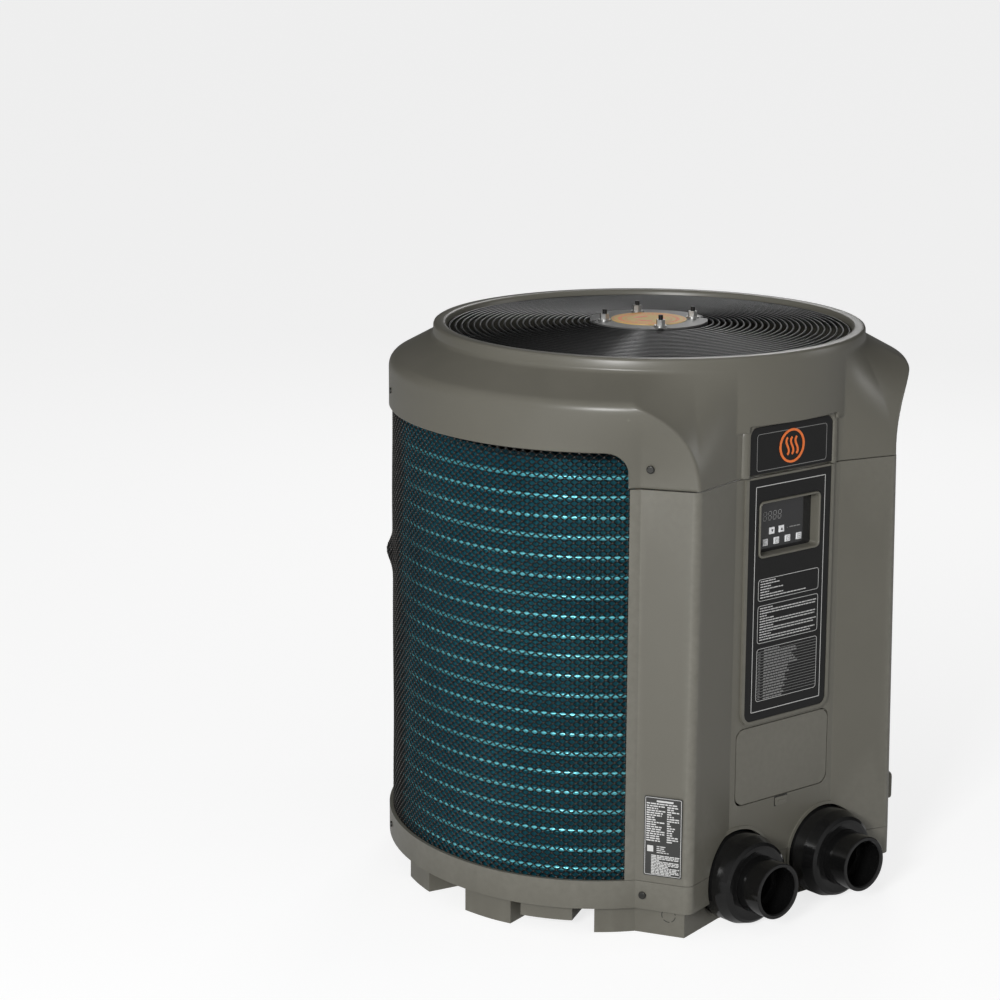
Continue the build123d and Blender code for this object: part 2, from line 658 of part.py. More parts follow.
def case_screws():
    """Screws that hold the cover and the panel: four at the front, four at the back."""
    point, away = flank_point(RIM_SCREW_SHARE, RIM_SCREW_Z)
    heads = [screw(point + away * GAP, away)]
    z = SEAM_Z + COVER_SCREW_RISE
    point = polar(cover_radius(COVER_SCREW_PHI, z), COVER_SCREW_PHI, z)
    other = polar(cover_radius(COVER_SCREW_PHI + 1, z), COVER_SCREW_PHI + 1, z)
    away = turned((other - point).normalized(), -90)
    heads.append(screw(point + away * 3 * GAP, away))
    for phi in BACK_SCREWS_PHI:
        for z, r in ((RIM_SCREW_Z, BODY_R), (SKIRT_Z + COVER_SCREW_RISE, SKIRT_R)):
            heads.append(screw(polar(r + FIT, phi, z), polar(1, phi), 4.0, 2.0))
    return Compound(children=[*heads, *[mirror(h, Plane.YZ) for h in heads]])


# ------------------------------------------------------------ evaporator
def coil_guard_net():
    """Netting stretched round the coil."""
    return c_band(NET_INSET, NET_THICK, 1.6, RIM_Z + PAN_WALL + GAP, SKIRT_Z + 12)


def fin_top():
    """Top of the fin pack."""
    return COIL_Z + TUBE_PITCH * TUBE_ROWS + 8


def evaporator_fins():
    """C-shaped pack of fins."""
    return c_band(FIN_INSET, FIN_THICK, COIL_TURN, COIL_Z, fin_top())


def coil_end_plates():
    """Tube sheets at the two ends of the fin pack."""
    thin = 0.4
    outer = c_band(FIN_INSET - 2, FIN_THICK + 4, COIL_TURN - thin, COIL_Z, fin_top())
    both = outer - c_band(FIN_INSET - 3, FIN_THICK + 6, COIL_TURN, COIL_Z - 1, fin_top() + 1)
    return both


def return_bends():
    """U-bends that join neighbouring tubes at both ends of the coil."""
    thin = 0.4
    end, _, _ = flank_arc(FIN_INSET + FIN_THICK / 2, COIL_TURN - thin)
    along = turned(turned(TO_WAIST, COIL_TURN - thin), -90)
    bends = []
    for i in range(TUBE_ROWS // 2):
        z = COIL_Z + TUBE_PITCH * (2 * i + 0.5) + 4
        low, high = end + Vector(0, 0, z), end + Vector(0, 0, z + TUBE_PITCH)
        top = end + along * (TUBE_PITCH / 2) + Vector(0, 0, z + TUBE_PITCH / 2)
        path = ThreePointArc(low, top, high)
        bend = sweep(Plane(origin=low, z_dir=along) * Circle(TUBE_R), path)
        bends += [bend, mirror(bend, Plane.YZ)]
    return Compound(children=bends)


def suction_header():
    """Upright pipe that gathers the vapour from the coil."""
    x, y, _ = polar(262, 56)
    return rod((x, y, 90), (x, y, HEADER_TOP), 11)


def distributor():
    """Brass cone that feeds the coil's circuits, with its small tubes."""
    x, y, _ = polar(262, -56)
    cone = [(0, 330), (14, 330), (14, 345), (6, 365), (0, 365)]
    body = Pos(x, y, 0) * spun(cone)
    for i in range(5):
        a = math.radians(72 * i)
        px, py = x + 9 * math.cos(a), y + 9 * math.sin(a)
        body += pipe([(px, py, 331), (px, py, 250 - 30 * i), (px * 1.05, py * 1.05, 230 - 30 * i)], 8, 2)
    return body


# ------------------------------------------------------------ fan and guard
def guard_z(r):
    """Level of the guard's wires at radius r."""
    return GUARD_Z + DOME * (GUARD_R - r) / (GUARD_R - PLATE_R)


def fan_guard():
    """Wire guard: rings of six-sided wire welded on spokes, as one piece."""
    spoke_drop = SPOKE_DROP
    radii = [GUARD_R - RING_PITCH * i for i in range(RINGS)]
    rings = [revolve(Plane.XZ * Pos(r, guard_z(r)) * RegularPolygon(WIRE_R, 6), Axis.Z) for r in radii]
    spokes = []
    for i in range(SPOKES):
        a = 360 / SPOKES * (i + 0.5)
        low = polar(GUARD_R + 1, a, guard_z(GUARD_R) - spoke_drop)
        high = polar(PLATE_R - 14, a, guard_z(PLATE_R - 14) - spoke_drop)
        spokes.append(rod(low, high, WIRE_R))
    return (Part() + [*rings, *spokes]).fix()


def plate_z():
    """Underside of the hub plate, on top of the innermost wires."""
    return guard_z(PLATE_R) + WIRE_R + 0.05


def motor_places():
    """Plan places of the motor's four studs."""
    return [polar(STUD_CIRCLE_R, STUD_TURN + 90 * i) for i in range(4)]


def hub_plate():
    """Round plate in the middle of the guard that carries the motor."""
    plate_body = Pos(0, 0, plate_z() + PLATE_T / 2) * Cylinder(PLATE_R, PLATE_T)
    for i in range(4):
        x, y, _ = polar(PLATE_R + PLATE_NOTCH_R / 4, STUD_TURN + 90 * i)
        plate_body -= Pos(x, y, plate_z()) * Cylinder(PLATE_NOTCH_R, 4 * PLATE_T)
    for place in motor_places():
        plate_body -= Pos(place.X, place.Y, plate_z()) * Cylinder(STUD_R + 0.4, 4 * PLATE_T)
    return plate_body


def hub_label():
    """Round label on the hub plate."""
    return Pos(0, 0, plate_z() + PLATE_T + 0.25) * Cylinder(LABEL_R, 0.5)


def motor_top():
    """Top of the motor's body, below the spokes."""
    return plate_z() - 2 * WIRE_R - 4.0


def fan_motor():
    """Enclosed motor with four long studs."""
    z1 = motor_top()
    z0 = z1 - MOTOR_H
    outline_points = [(SHAFT_R + 4, z0 - 6), (SHAFT_R + 14, z0 - 6), (SHAFT_R + 16, z0), (MOTOR_R - 8, z0), (MOTOR_R, z0 + 10)]
    outline_points += [(MOTOR_R, z1 - 8), (MOTOR_R - 8, z1), (0, z1), (0, z0 + 12), (SHAFT_R + 4, z0 + 12)]
    motor = spun(outline_points)
    for place in motor_places():
        top = plate_z() + PLATE_T + NUT_H + 6
        motor += rod((place.X, place.Y, z1 - 20), (place.X, place.Y, top), STUD_R)
    return motor


def motor_nuts():
    """Flanged nuts on the motor's studs."""
    z = plate_z() + PLATE_T
    nuts = []
    for place in motor_places():
        body = Pos(place.X, place.Y, z) * extrude(RegularPolygon(NUT_ACROSS_R, 6), NUT_H)
        body += Pos(place.X, place.Y, z + 0.9) * Cylinder(NUT_ACROSS_R + 2.5, 1.8)
        body -= rod((place.X, place.Y, z - 1), (place.X, place.Y, z + NUT_H + 1), STUD_R + FIT)
        nuts.append(body)
    return Compound(children=nuts)


def guard_clips():
    """Clips that hold the guard's rim against the throat."""
    clips = []
    for i in range(SPOKES):
        a = 360 / SPOKES * (i + 0.5)
        low, high = GUARD_Z - 9, GUARD_Z - SPOKE_DROP - WIRE_R - 0.1
        body = box(-7, 7, -THROAT_R + 0.2, -THROAT_R + 12, low, high)
        clips.append(Rot(0, 0, a) * body)
    return Compound(children=clips)


def shaft_z():
    """Top and bottom of the motor's shaft."""
    z1 = motor_top() - MOTOR_H + 8
    return z1, z1 - SHAFT_L


def motor_shaft():
    """Shaft that leaves the motor downwards."""
    z1, z0 = shaft_z()
    return rod((0, 0, z0), (0, 0, z1), SHAFT_R)


def fan_hub():
    """Hub clamped on the shaft."""
    _, z0 = shaft_z()
    hub = [(SHAFT_R, z0 + 2), (FAN_HUB_R, z0 + 2), (FAN_HUB_R, z0 + 8), (18, z0 + 12), (18, z0 + FAN_HUB_H)]
    hub += [(SHAFT_R, z0 + FAN_HUB_H)]
    return spun(hub)


def blade_section(r, chord, pitch, rise):
    """Cambered plate section of a blade at radius r, standing across it."""
    plane = Plane(origin=(r, 0, 0), x_dir=(0, 1, 0), z_dir=(1, 0, 0)).rotated((0, 0, 0))
    arc = ThreePointArc((-chord / 2, 0), (0, rise), (chord / 2, 0))
    top = ThreePointArc((-chord / 2, BLADE_T), (0, rise + BLADE_T), (chord / 2, BLADE_T))
    edges = [arc, top, Line(arc @ 0, top @ 0), Line(arc @ 1, top @ 1)]
    return plane * (Rot(0, 0, pitch) * make_face(edges))


def fan_blades():
    """Four pitched blades with their root arms riveted under the hub."""
    _, z0 = shaft_z()
    tip = FAN_R - 14
    sections = [
        blade_section(FAN_HUB_R - 6, 30, 12, 1),
        blade_section(FAN_HUB_R + 30, 90, 26, 8),
        blade_section((FAN_HUB_R + tip) / 2 + 15, 140, 24, 14),
        blade_section(tip, 150, 20, 12),
    ]
    blade = Pos(0, 0, z0 - 4) * loft(sections)
    blade -= Pos(0, 0, z0 + 2 + 30) * Cylinder(FAN_HUB_R + 1, 60)
    blades = [Rot(0, 0, 360 / BLADES * i) * blade for i in range(BLADES)]
    return Compound(children=blades)


# ------------------------------------------------------------ water side
def about_y(points, x, z):
    """An outline of (radius, y) points turned about the union's axis."""
    face = make_face(Polyline(*[(r, y) for r, y in points], close=True))
    return Pos(x, 0, z) * revolve(face, Axis.Y)


def union_body(x, z):
    """Threaded half of the union, on the end of the water pipe."""
    y0 = NUT_FRONT_Y + NUT_LIP + 9 + SEAL_T
    pipe_end = NUT_BACK_Y + 30
    points = [(WATERWAY_R - 3, y0), (THREAD_R, y0), (THREAD_R, NUT_BACK_Y - 2), (WATER_PIPE_R + 5, NUT_BACK_Y + 3)]
    points += [(WATER_PIPE_R + 5, pipe_end), (WATER_PIPE_R + FIT, pipe_end), (WATER_PIPE_R + FIT, pipe_end - 18)]
    points += [(WATERWAY_R - 3, pipe_end - 18)]
    return about_y(points, x, z)


def union_seal(x, z):
    """Flat seal between the union's two halves."""
    y0 = NUT_FRONT_Y + NUT_LIP + 9
    return about_y([(WATERWAY_R, y0), (40, y0), (40, y0 + SEAL_T), (WATERWAY_R, y0 + SEAL_T)], x, z)


def union_tail(x, z):
    """Loose half of the union: flange, body and the socket for the pool's pipe."""
    back = NUT_FRONT_Y + NUT_LIP + 9
    flange = NUT_FRONT_Y + NUT_LIP + SLIP
    front = SOCKET_FACE_Y
    mouth = 1.6
    points = [(WATERWAY_R, back), (46, back), (46, flange), (SOCKET_R, flange), (SOCKET_R, front + 1)]
    points += [(SOCKET_R - 1, front), (PIPE_SOCKET_R + mouth, front), (PIPE_SOCKET_R, front + mouth)]
    points += [(PIPE_SOCKET_R, front + SOCKET_DEPTH), (WATERWAY_R, front + SOCKET_DEPTH)]
    return about_y(points, x, z)


def union_nut(x, z):
    """Ribbed nut that pulls the two halves together."""
    inner = THREAD_R + SLIP
    lip_y = NUT_FRONT_Y + NUT_LIP
    hole = SOCKET_R + SLIP + 0.15
    points = [(inner, NUT_BACK_Y), (NUT_R, NUT_BACK_Y), (NUT_R, NUT_FRONT_Y + 19), (NUT_R - 5, NUT_FRONT_Y + 4)]
    points += [(NUT_R - 9, NUT_FRONT_Y + 0.8), (NUT_R - 13, NUT_FRONT_Y), (hole, NUT_FRONT_Y), (hole, lip_y), (inner, lip_y)]
    nut = about_y(points, x, z)
    return nut


def water_pipe(points):
    """Plastic water pipe with a wide bend."""
    return pipe(points, WATER_PIPE_R * 2, WATER_PIPE_R, WATER_PIPE_WALL)


def pipe_start_y():
    """Where the water pipes bottom out in the union bodies."""
    return NUT_BACK_Y + 30 - 18 + 0.1


def port_y():
    """Mouth of the exchanger's lower port."""
    return SHELL_Y - SHELL_R - 14


def water_pipe_in():
    """Straight pipe from the -X union to the bottom of the exchanger."""
    outer = rod((-UNION_X, pipe_start_y(), UNION_Z), (-UNION_X, port_y() + 12, UNION_Z), WATER_PIPE_R)
    return outer - rod((-UNION_X, pipe_start_y() - 1, UNION_Z), (-UNION_X, port_y() + 13, UNION_Z),
                       WATER_PIPE_R - WATER_PIPE_WALL)


def water_pipe_out():
    """Pipe from the top of the exchanger down to the +X union."""
    x = UNION_X
    points = [(x, pipe_start_y(), UNION_Z), (x, SHELL_Y, UNION_Z), (x, SHELL_Y, UPPER_PORT_Z)]
    points += [(SHELL_X + SHELL_R + 2, SHELL_Y, UPPER_PORT_Z)]
    return water_pipe(points)


def exchanger_shell():
    """Plastic vessel with the two water ports."""
    low = PAN_FLOOR_Z + PAN_WALL + 0.1
    port = WATER_PIPE_R + 6
    shell = Pos(SHELL_X, SHELL_Y, (low + SHELL_TOP) / 2) * Cylinder(SHELL_R, SHELL_TOP - low)
    shell += rod((-UNION_X, port_y(), UNION_Z), (-UNION_X, SHELL_Y - SHELL_R + 20, UNION_Z), port)
    shell += rod((SHELL_X + SHELL_R - 20, SHELL_Y, UPPER_PORT_Z), (SHELL_X + SHELL_R + 14, SHELL_Y, UPPER_PORT_Z), port)
    room = SHELL_TOP - low - SHELL_WALL
    shell -= Pos(SHELL_X, SHELL_Y, low + SHELL_WALL + room / 2) * Cylinder(SHELL_R - SHELL_WALL, room)
    shell -= rod((-UNION_X, port_y() - 1, UNION_Z), (-UNION_X, SHELL_Y, UNION_Z), WATER_PIPE_R + FIT)
    shell -= rod((SHELL_X, SHELL_Y, UPPER_PORT_Z), (SHELL_X + SHELL_R + 15, SHELL_Y, UPPER_PORT_Z), WATER_PIPE_R + FIT)
    return shell


def exchanger_lid():
    """Flanged lid with two glands for the titanium tube."""
    z0 = SHELL_TOP + 0.1
    r = SHELL_R + 8
    points = [(0, z0), (r, z0), (r, z0 + 10), (r - 12, z0 + 12), (r - 26, z0 + 22), (0, z0 + 26)]
    lid = Pos(SHELL_X, SHELL_Y, 0) * spun(points)
    for dx in (-30, 30):
        lid -= rod((SHELL_X + dx, SHELL_Y, z0 - 1), (SHELL_X + dx, SHELL_Y, z0 + 40), 7.1)
    return lid


def titanium_coil():
    """Helical titanium tube inside the vessel."""
    turn_r, pitch, height = 58.0, 22.0, 264.0
    helix = Helix(pitch, height, turn_r)
    section = Plane(origin=helix @ 0, z_dir=helix % 0) * Circle(7)
    return Pos(SHELL_X, SHELL_Y, 100) * sweep(section, helix, is_frenet=True)


def water_switch():
    """Switch that senses the water flow, on a saddle over the inlet pipe."""
    x, z = -UNION_X, UNION_Z + WATER_PIPE_R + 6
    y = (pipe_start_y() + port_y()) / 2
    return rod((x, y, z - 5.9), (x, y, z + 14), 9) + box(x - 14, x + 14, y - 14, y + 14, z + 14, z + 44)


# ------------------------------------------------------------ refrigerant side
def compressor():
    """Upright hermetic compressor with domed ends and a three-legged base."""
    z0, z1 = COMP_FOOT_Z + 4, COMP_TOP
    dome = 34.0
    points = [(0, z0), (COMP_R - 20, z0), (COMP_R, z0 + 22), (COMP_R, z1 - dome), (COMP_R - 14, z1 - 12), (COMP_R - 40, z1), (0, z1)]
    body = spun(points)
    leg_r, pad = COMP_R + 22, 16
    for i in range(3):
        leg = box(0, leg_r, -14, 14, COMP_FOOT_Z, COMP_FOOT_Z + 6)
        leg += Pos(leg_r, 0, COMP_FOOT_Z + 3) * Cylinder(pad, 6)
        leg -= Pos(leg_r, 0, COMP_FOOT_Z + 3) * Cylinder(7, 8)
        body += Rot(0, 0, 120 * i + 30) * leg
    return Pos(COMP_X, COMP_Y, 0) * body


def comp_feet():
    """Plan places of the compressor's three feet."""
    places = []
    for i in range(3):
        a = math.radians(120 * i + 30)
        places.append((COMP_X + (COMP_R + 22) * math.cos(a), COMP_Y + (COMP_R + 22) * math.sin(a)))
    return places


def compressor_grommets():
    """Rubber feet under the compressor."""
    z0, z1 = PAN_FLOOR_Z + PAN_WALL + 0.05, COMP_FOOT_Z - 0.05
    ring = [(4.2, z0), (15, z0), (13, z1), (4.2, z1)]
    return Compound(children=[Pos(x, y, 0) * spun(ring) for x, y in comp_feet()])


def compressor_bolts():
    """Bolts through the rubber feet, with washers and nuts."""
    z0, z1 = PAN_FLOOR_Z + PAN_WALL + 0.05, COMP_FOOT_Z + 6
    bolt = Pos(0, 0, (z0 + z1 + 14) / 2) * Cylinder(4, z1 + 14 - z0)
    bolt += Pos(0, 0, z1 + 1.2) * Cylinder(12, 2.2)
    bolt += Pos(0, 0, z1 + 2.2) * extrude(RegularPolygon(8, 6), 6)
    return Compound(children=[Pos(x, y, 0) * bolt for x, y in comp_feet()])


def terminal_cover():
    """Cover of the compressor's terminals."""
    x0 = COMP_X + COMP_R + 0.2
    return box(x0, x0 + 26, COMP_Y - 24, COMP_Y + 24, 250, 310)


def suction_line():
    """Vapour line from the coil's header to the compressor."""
    x, y, _ = polar(262, 56)
    z = HEADER_TOP + 24
    points = [(x, y, HEADER_TOP + 0.1), (x, y, z), (x - 10, y + 110, z), (COMP_X, COMP_Y, z)]
    return pipe([*points, (COMP_X, COMP_Y, COMP_TOP + 0.1)], 18, 8)


def discharge_line():
    """Hot gas line from the compressor to the titanium coil."""
    z = 330.0
    start_y = COMP_Y + COMP_R + 0.3
    top = SHELL_TOP + 60
    points = [(COMP_X, start_y, z), (COMP_X, start_y + 40, z), (COMP_X, start_y + 40, top)]
    points += [(SHELL_X + 30, SHELL_Y, top), (SHELL_X + 30, SHELL_Y, SHELL_TOP + 4)]
    return pipe(points, 16, 6)


def liquid_line():
    """Liquid line from the titanium coil to the drier."""
    top = SHELL_TOP + 44
    points = [(SHELL_X - 30, SHELL_Y, SHELL_TOP + 4), (SHELL_X - 30, SHELL_Y, top), (-150, 130, top), (-150, 130, 240.1)]
    return pipe(points, 16, 5)


def filter_drier():
    """Drier in the liquid line."""
    points = [(0, 110), (6, 110), (8, 122), (21, 132), (21, 218), (8, 230), (6, 240), (0, 240)]
    return Pos(-150, 130, 0) * spun(points)


def expansion_valve():
    """Valve between the drier and the distributor."""
    x, y, _ = polar(262, -56)
    body = Pos(x, y, 385) * Cylinder(13, 39.8)
    body += Pos(x, y, 415) * Cylinder(20, 10)
    return body


# ------------------------------------------------------------ electrical parts
def electrical_box():
    """Sheet-metal box behind the controls, open towards the front."""
    outer = box(-BOX_HALF, BOX_HALF, BOX_FRONT_Y, BOX_BACK_Y, BOX_LOW, BOX_TOP)
    return outer - box(-BOX_HALF + SHEET, BOX_HALF - SHEET, BOX_FRONT_Y - 1, BOX_BACK_Y - SHEET,
                       BOX_LOW + SHEET, BOX_TOP - SHEET)


RELAY_X0, RELAY_X1, RELAY_Z0, RELAY_Z1 = -90.0, -30.0, 440.0, 510.0
RELAY_DEEP = 50.0
WELL_HALF, WELL_DEEP = 8.0, 20.0
PLUNGER_PROUD = 3.0
RELAY_BACK_Y = BOX_BACK_Y - SHEET - 2 * FIT
RELAY_X, RELAY_Z = (RELAY_X0 + RELAY_X1) / 2, (RELAY_Z0 + RELAY_Z1) / 2


def relay_block(half, y0, y1):
    """A square bar in the middle of the relay's face."""
    return box(RELAY_X - half, RELAY_X + half, y0, y1, RELAY_Z - half, RELAY_Z + half)


def contactor():
    """Relay block for the compressor, with a well for its plunger."""
    front_y = RELAY_BACK_Y - RELAY_DEEP
    body = box(RELAY_X0, RELAY_X1, front_y, RELAY_BACK_Y, RELAY_Z0, RELAY_Z1)
    return body - relay_block(WELL_HALF, front_y, front_y + WELL_DEEP)


def contactor_plunger():
    """Test plunger of the contactor: its stroke is left free behind it."""
    front_y = RELAY_BACK_Y - RELAY_DEEP - PLUNGER_PROUD
    back_y = front_y + PLUNGER_PROUD + WELL_DEEP - 2 * PLUNGER_PROUD
    return relay_block(WELL_HALF - SLIP, front_y, back_y)


CAN_X, CAN_Z, CAN_R, CAN_TALL, BLADE = 60.0, 365.0, 24.0, 100.0, 12.0


def capacitor():
    """Run capacitor of the compressor, with two blade terminals."""
    y = BOX_BACK_Y - SHEET - CAN_R - 3 * WALL / 2
    can = Pos(CAN_X, y, CAN_Z) * Cylinder(CAN_R, CAN_TALL)
    for side in (-1, 1):
        can += Pos(CAN_X + side * CAN_R / 4, y, CAN_Z + CAN_TALL / 2 + BLADE / 3) * Box(3, 8, BLADE)
    return can


def power_inlet():
    """Hooded cable entry on the +X flank."""
    point, away = flank_point(0.55, 124)
    along = turned(away, 90)
    plane = Plane(origin=point + away * 0.5, x_dir=along, z_dir=away)
    hood = extrude(plane * RectangleRounded(30, 36, 6), 8)
    return fillet(hood.faces().sort_by(lambda f: f.center().dot(away))[-1].edges(), 3)


def pair_of(make):
    """The same piece at both unions."""
    return Compound(children=[make(*place) for place in union_places()])


IN, OUT = union_places()

NODES = {
    "base_pan": base_pan,
    "front_panel": front_panel,
    "top_cover": top_cover,
    "coil_guard_net": coil_guard_net,
    "badge_plate": badge_plate,
    "badge_emblem": badge_emblem,
    "control_label": control_label,
    "service_door": service_door,
    "service_latch": service_latch,
    "rating_label": rating_label,
    "case_screws": case_screws,
    "power_inlet": power_inlet,
    "fan_guard": fan_guard,
    "guard_clips": guard_clips,
    "hub_plate": hub_plate,
    "hub_label": hub_label,
    "motor_nuts": motor_nuts,
    "fan_motor": fan_motor,
    "motor_shaft": motor_shaft,
    "fan_hub": fan_hub,
    "fan_blades": fan_blades,
    "evaporator_fins": evaporator_fins,
    "coil_end_plates": coil_end_plates,
    "return_bends": return_bends,
    "suction_header": suction_header,
    "distributor": distributor,
    "compressor": compressor,
    "compressor_grommets": compressor_grommets,
    "compressor_bolts": compressor_bolts,
    "terminal_cover": terminal_cover,
    "suction_line": suction_line,
    "discharge_line": discharge_line,
    "liquid_line": liquid_line,
    "filter_drier": filter_drier,
    "expansion_valve": expansion_valve,
    "exchanger_shell": exchanger_shell,
    "exchanger_lid": exchanger_lid,
    "titanium_coil": titanium_coil,
    "water_pipe_in": water_pipe_in,
    "water_pipe_out": water_pipe_out,
    "water_switch": water_switch,
    "union_bodies": lambda: pair_of(union_body),
    "union_seals": lambda: pair_of(union_seal),
    "union_tails": lambda: pair_of(union_tail),
    "union_nut_in": lambda: union_nut(*IN),
    "union_nut_out": lambda: union_nut(*OUT),
    "control_housing": control_housing,
    "control_board": control_board,
    "wiring_box": wiring_box,
    "terminal_block": terminal_block,
    "electrical_box": electrical_box,
    "contactor": contactor,
    "contactor_plunger": contactor_plunger,
    "capacitor": capacitor,
}

if __name__ == "__main__":
    for node, make in NODES.items():
        export_step(make(), f"parts/{node}.step")
    for node, (key_x, key_z) in KEYS.items():
        export_step(key_button(key_x, key_z), f"parts/{node}.step")
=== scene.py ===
import math

import bpy
import numpy as np
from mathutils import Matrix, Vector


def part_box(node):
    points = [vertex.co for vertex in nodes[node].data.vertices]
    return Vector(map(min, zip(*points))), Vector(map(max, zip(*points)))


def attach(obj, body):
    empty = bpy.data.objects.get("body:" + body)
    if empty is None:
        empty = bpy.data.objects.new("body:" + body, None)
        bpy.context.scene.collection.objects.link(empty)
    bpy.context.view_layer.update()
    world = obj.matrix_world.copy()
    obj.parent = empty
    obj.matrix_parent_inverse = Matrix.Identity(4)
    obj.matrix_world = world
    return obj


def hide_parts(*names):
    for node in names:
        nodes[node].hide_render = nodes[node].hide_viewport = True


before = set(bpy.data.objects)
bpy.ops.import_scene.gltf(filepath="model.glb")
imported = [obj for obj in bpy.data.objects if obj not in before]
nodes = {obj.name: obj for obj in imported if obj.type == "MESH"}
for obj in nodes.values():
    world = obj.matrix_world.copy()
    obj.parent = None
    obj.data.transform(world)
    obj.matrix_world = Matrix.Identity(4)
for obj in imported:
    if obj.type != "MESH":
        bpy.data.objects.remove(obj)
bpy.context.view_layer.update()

# %% [markdown]
# # A round pool heat pump
# The unit is a drum: a base pan with feet, a coil behind a net, a front panel with the
# controls, and a cover whose shoulder runs up to a raised collar round the fan. The frame
# gives every piece its place, in metres, with the front towards -Y. Sizes below are in
# millimetres, because that is how the moulds are drawn, and MM turns them into metres.

# %% Units and small helpers
MM = 0.001


def low(node):
    """Lowest corner of a CAD node, in millimetres."""
    return np.array(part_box(node)[0]) / MM


def high(node):
    """Highest corner of a CAD node, in millimetres."""
    return np.array(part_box(node)[1]) / MM


# %% [markdown]
# ## The camera first
# The unit is looked at from its front left and a little from above with a long lens, so
# that its uprights stay nearly parallel. A long lens far away is the right way to show a
# product's proportions. Yaw, pitch and roll are turned into the three Euler angles.

# %% Camera
EYE = (-2.4808, -2.7087, 1.3502)
YAW, PITCH, ROLL = 39.389, -13.147, -0.209
LENS = 101.28

camera = bpy.data.objects.new("camera", bpy.data.cameras.new("camera"))
bpy.context.scene.collection.objects.link(camera)
camera.data.lens = LENS
camera.data.sensor_width = 36.0
camera.data.clip_end = 50.0
camera.location = EYE
camera.rotation_mode = "XYZ"
camera.rotation_euler = (math.radians(90 + PITCH), math.radians(ROLL), math.radians(-YAW))
bpy.context.scene.camera = camera
bpy.context.scene.view_settings.view_transform = "Standard"

# %% [markdown]
# ## The floor
# A product stands on a pale paper sweep with no visible edge. A curved backdrop would do,
# but a plain floor that runs out of sight is simpler and keeps a soft contact shadow. It
# glows a little for the camera only, as a lit sweep does, so that it stays white without
# lighting the unit from below. The Light Path node tells camera rays from all others.

# %% Floor
FLOOR_HALF, FLOOR_GLOW, GLOW_SHARE = 45.0, 1.25, 0.62
floor_mesh = bpy.data.meshes.new("floor")
corners = [(x * FLOOR_HALF, y * FLOOR_HALF, 0.0) for x, y in ((-1, -1), (1, -1), (1, 1), (-1, 1))]
floor_mesh.from_pydata(corners, [], [(0, 1, 2, 3)])
floor = bpy.data.objects.new("floor", floor_mesh)
bpy.context.scene.collection.objects.link(floor)
floor_paint = bpy.data.materials.new("floor_paint")
floor_paint.use_nodes = True
tree = floor_paint.node_tree
floor_shader = tree.nodes["Principled BSDF"]
floor_shader.inputs["Base Color"].default_value = (0.92, 0.92, 0.92, 1)
floor_shader.inputs["Roughness"].default_value = 0.9
floor_shader.inputs["Specular IOR Level"].default_value = 0.1
glow = tree.nodes.new("ShaderNodeEmission")
seen = tree.nodes.new("ShaderNodeLightPath")
share = tree.nodes.new("ShaderNodeMath")
share.operation = "MULTIPLY"
share.inputs[1].default_value = GLOW_SHARE
blend = tree.nodes.new("ShaderNodeMixShader")
tree.links.new(seen.outputs["Is Camera Ray"], share.inputs[0])
tree.links.new(share.outputs[0], blend.inputs["Fac"])
tree.links.new(floor_shader.outputs[0], blend.inputs[1])
tree.links.new(glow.outputs[0], blend.inputs[2])
tree.links.new(blend.outputs[0], tree.nodes["Material Output"].inputs["Surface"])
glow.inputs["Strength"].default_value = FLOOR_GLOW
floor_mesh.materials.append(floor_paint)
print("floor", 2 * FLOOR_HALF, "m wide")

# %% [markdown]
# ## The surround
# Glossy plastic shows what stands round it, so the surround matters as much as the lamps.
# It is brighter behind the camera than behind the unit, as in a studio with one wall of
# soft boxes, and that gives the round skirt its fall-off at both edges. The dot product of
# a ray's direction with the way to the camera goes from -1 to 1, and a Map Range node
# turns it into a strength. An image of a studio could do the same, but this needs no file.

# %% Surround
TOWARDS_CAMERA = (-0.74, -0.67, 0.06)
FAR_STRENGTH, NEAR_STRENGTH = 0.05, 0.55
world = bpy.data.worlds.new("surround")
world.use_nodes = True
tree = world.node_tree
way = tree.nodes.new("ShaderNodeTexCoord")
facing = tree.nodes.new("ShaderNodeVectorMath")
facing.operation = "DOT_PRODUCT"
facing.inputs[1].default_value = TOWARDS_CAMERA
spread = tree.nodes.new("ShaderNodeMapRange")
spread.inputs["From Min"].default_value = -0.5
spread.inputs["From Max"].default_value = 1.0
spread.inputs["To Min"].default_value = FAR_STRENGTH
spread.inputs["To Max"].default_value = NEAR_STRENGTH
tree.links.new(way.outputs["Generated"], facing.inputs[0])
tree.links.new(facing.outputs["Value"], spread.inputs["Value"])
tree.links.new(spread.outputs["Result"], tree.nodes["Background"].inputs["Strength"])
tree.nodes["Background"].inputs["Color"].default_value = (1, 1, 1, 1)
bpy.context.scene.world = world
print("surround", FAR_STRENGTH, "to", NEAR_STRENGTH)

# %% [markdown]
# ## Three soft lamps
# One large key lamp at the left models the drum. A weak rim lamp behind draws the collar's
# edge, and a small one at the right keeps the front's return from going black. Area lamps
# are the right kind here, because their size sets how soft a shadow's edge is. A lamp
# shines along its own -Z, so two angles turn that axis towards the target.

# %% Lights


def soft_light(name, place, target, size, power):
    """A square area light at place that faces target."""
    lamp = bpy.data.lights.new(name, "AREA")
    lamp.shape, lamp.size, lamp.energy = "SQUARE", size, power
    holder = bpy.data.objects.new(name, lamp)
    bpy.context.scene.collection.objects.link(holder)
    away = np.array(place, float) - np.array(target, float)
    flat = math.hypot(away[0], away[1])
    holder.location = place
    holder.rotation_euler = (math.atan2(flat, away[2]), 0, math.atan2(away[1], away[0]) + math.pi / 2)
    print(name, "is", round(math.hypot(*away), 2), "m away")


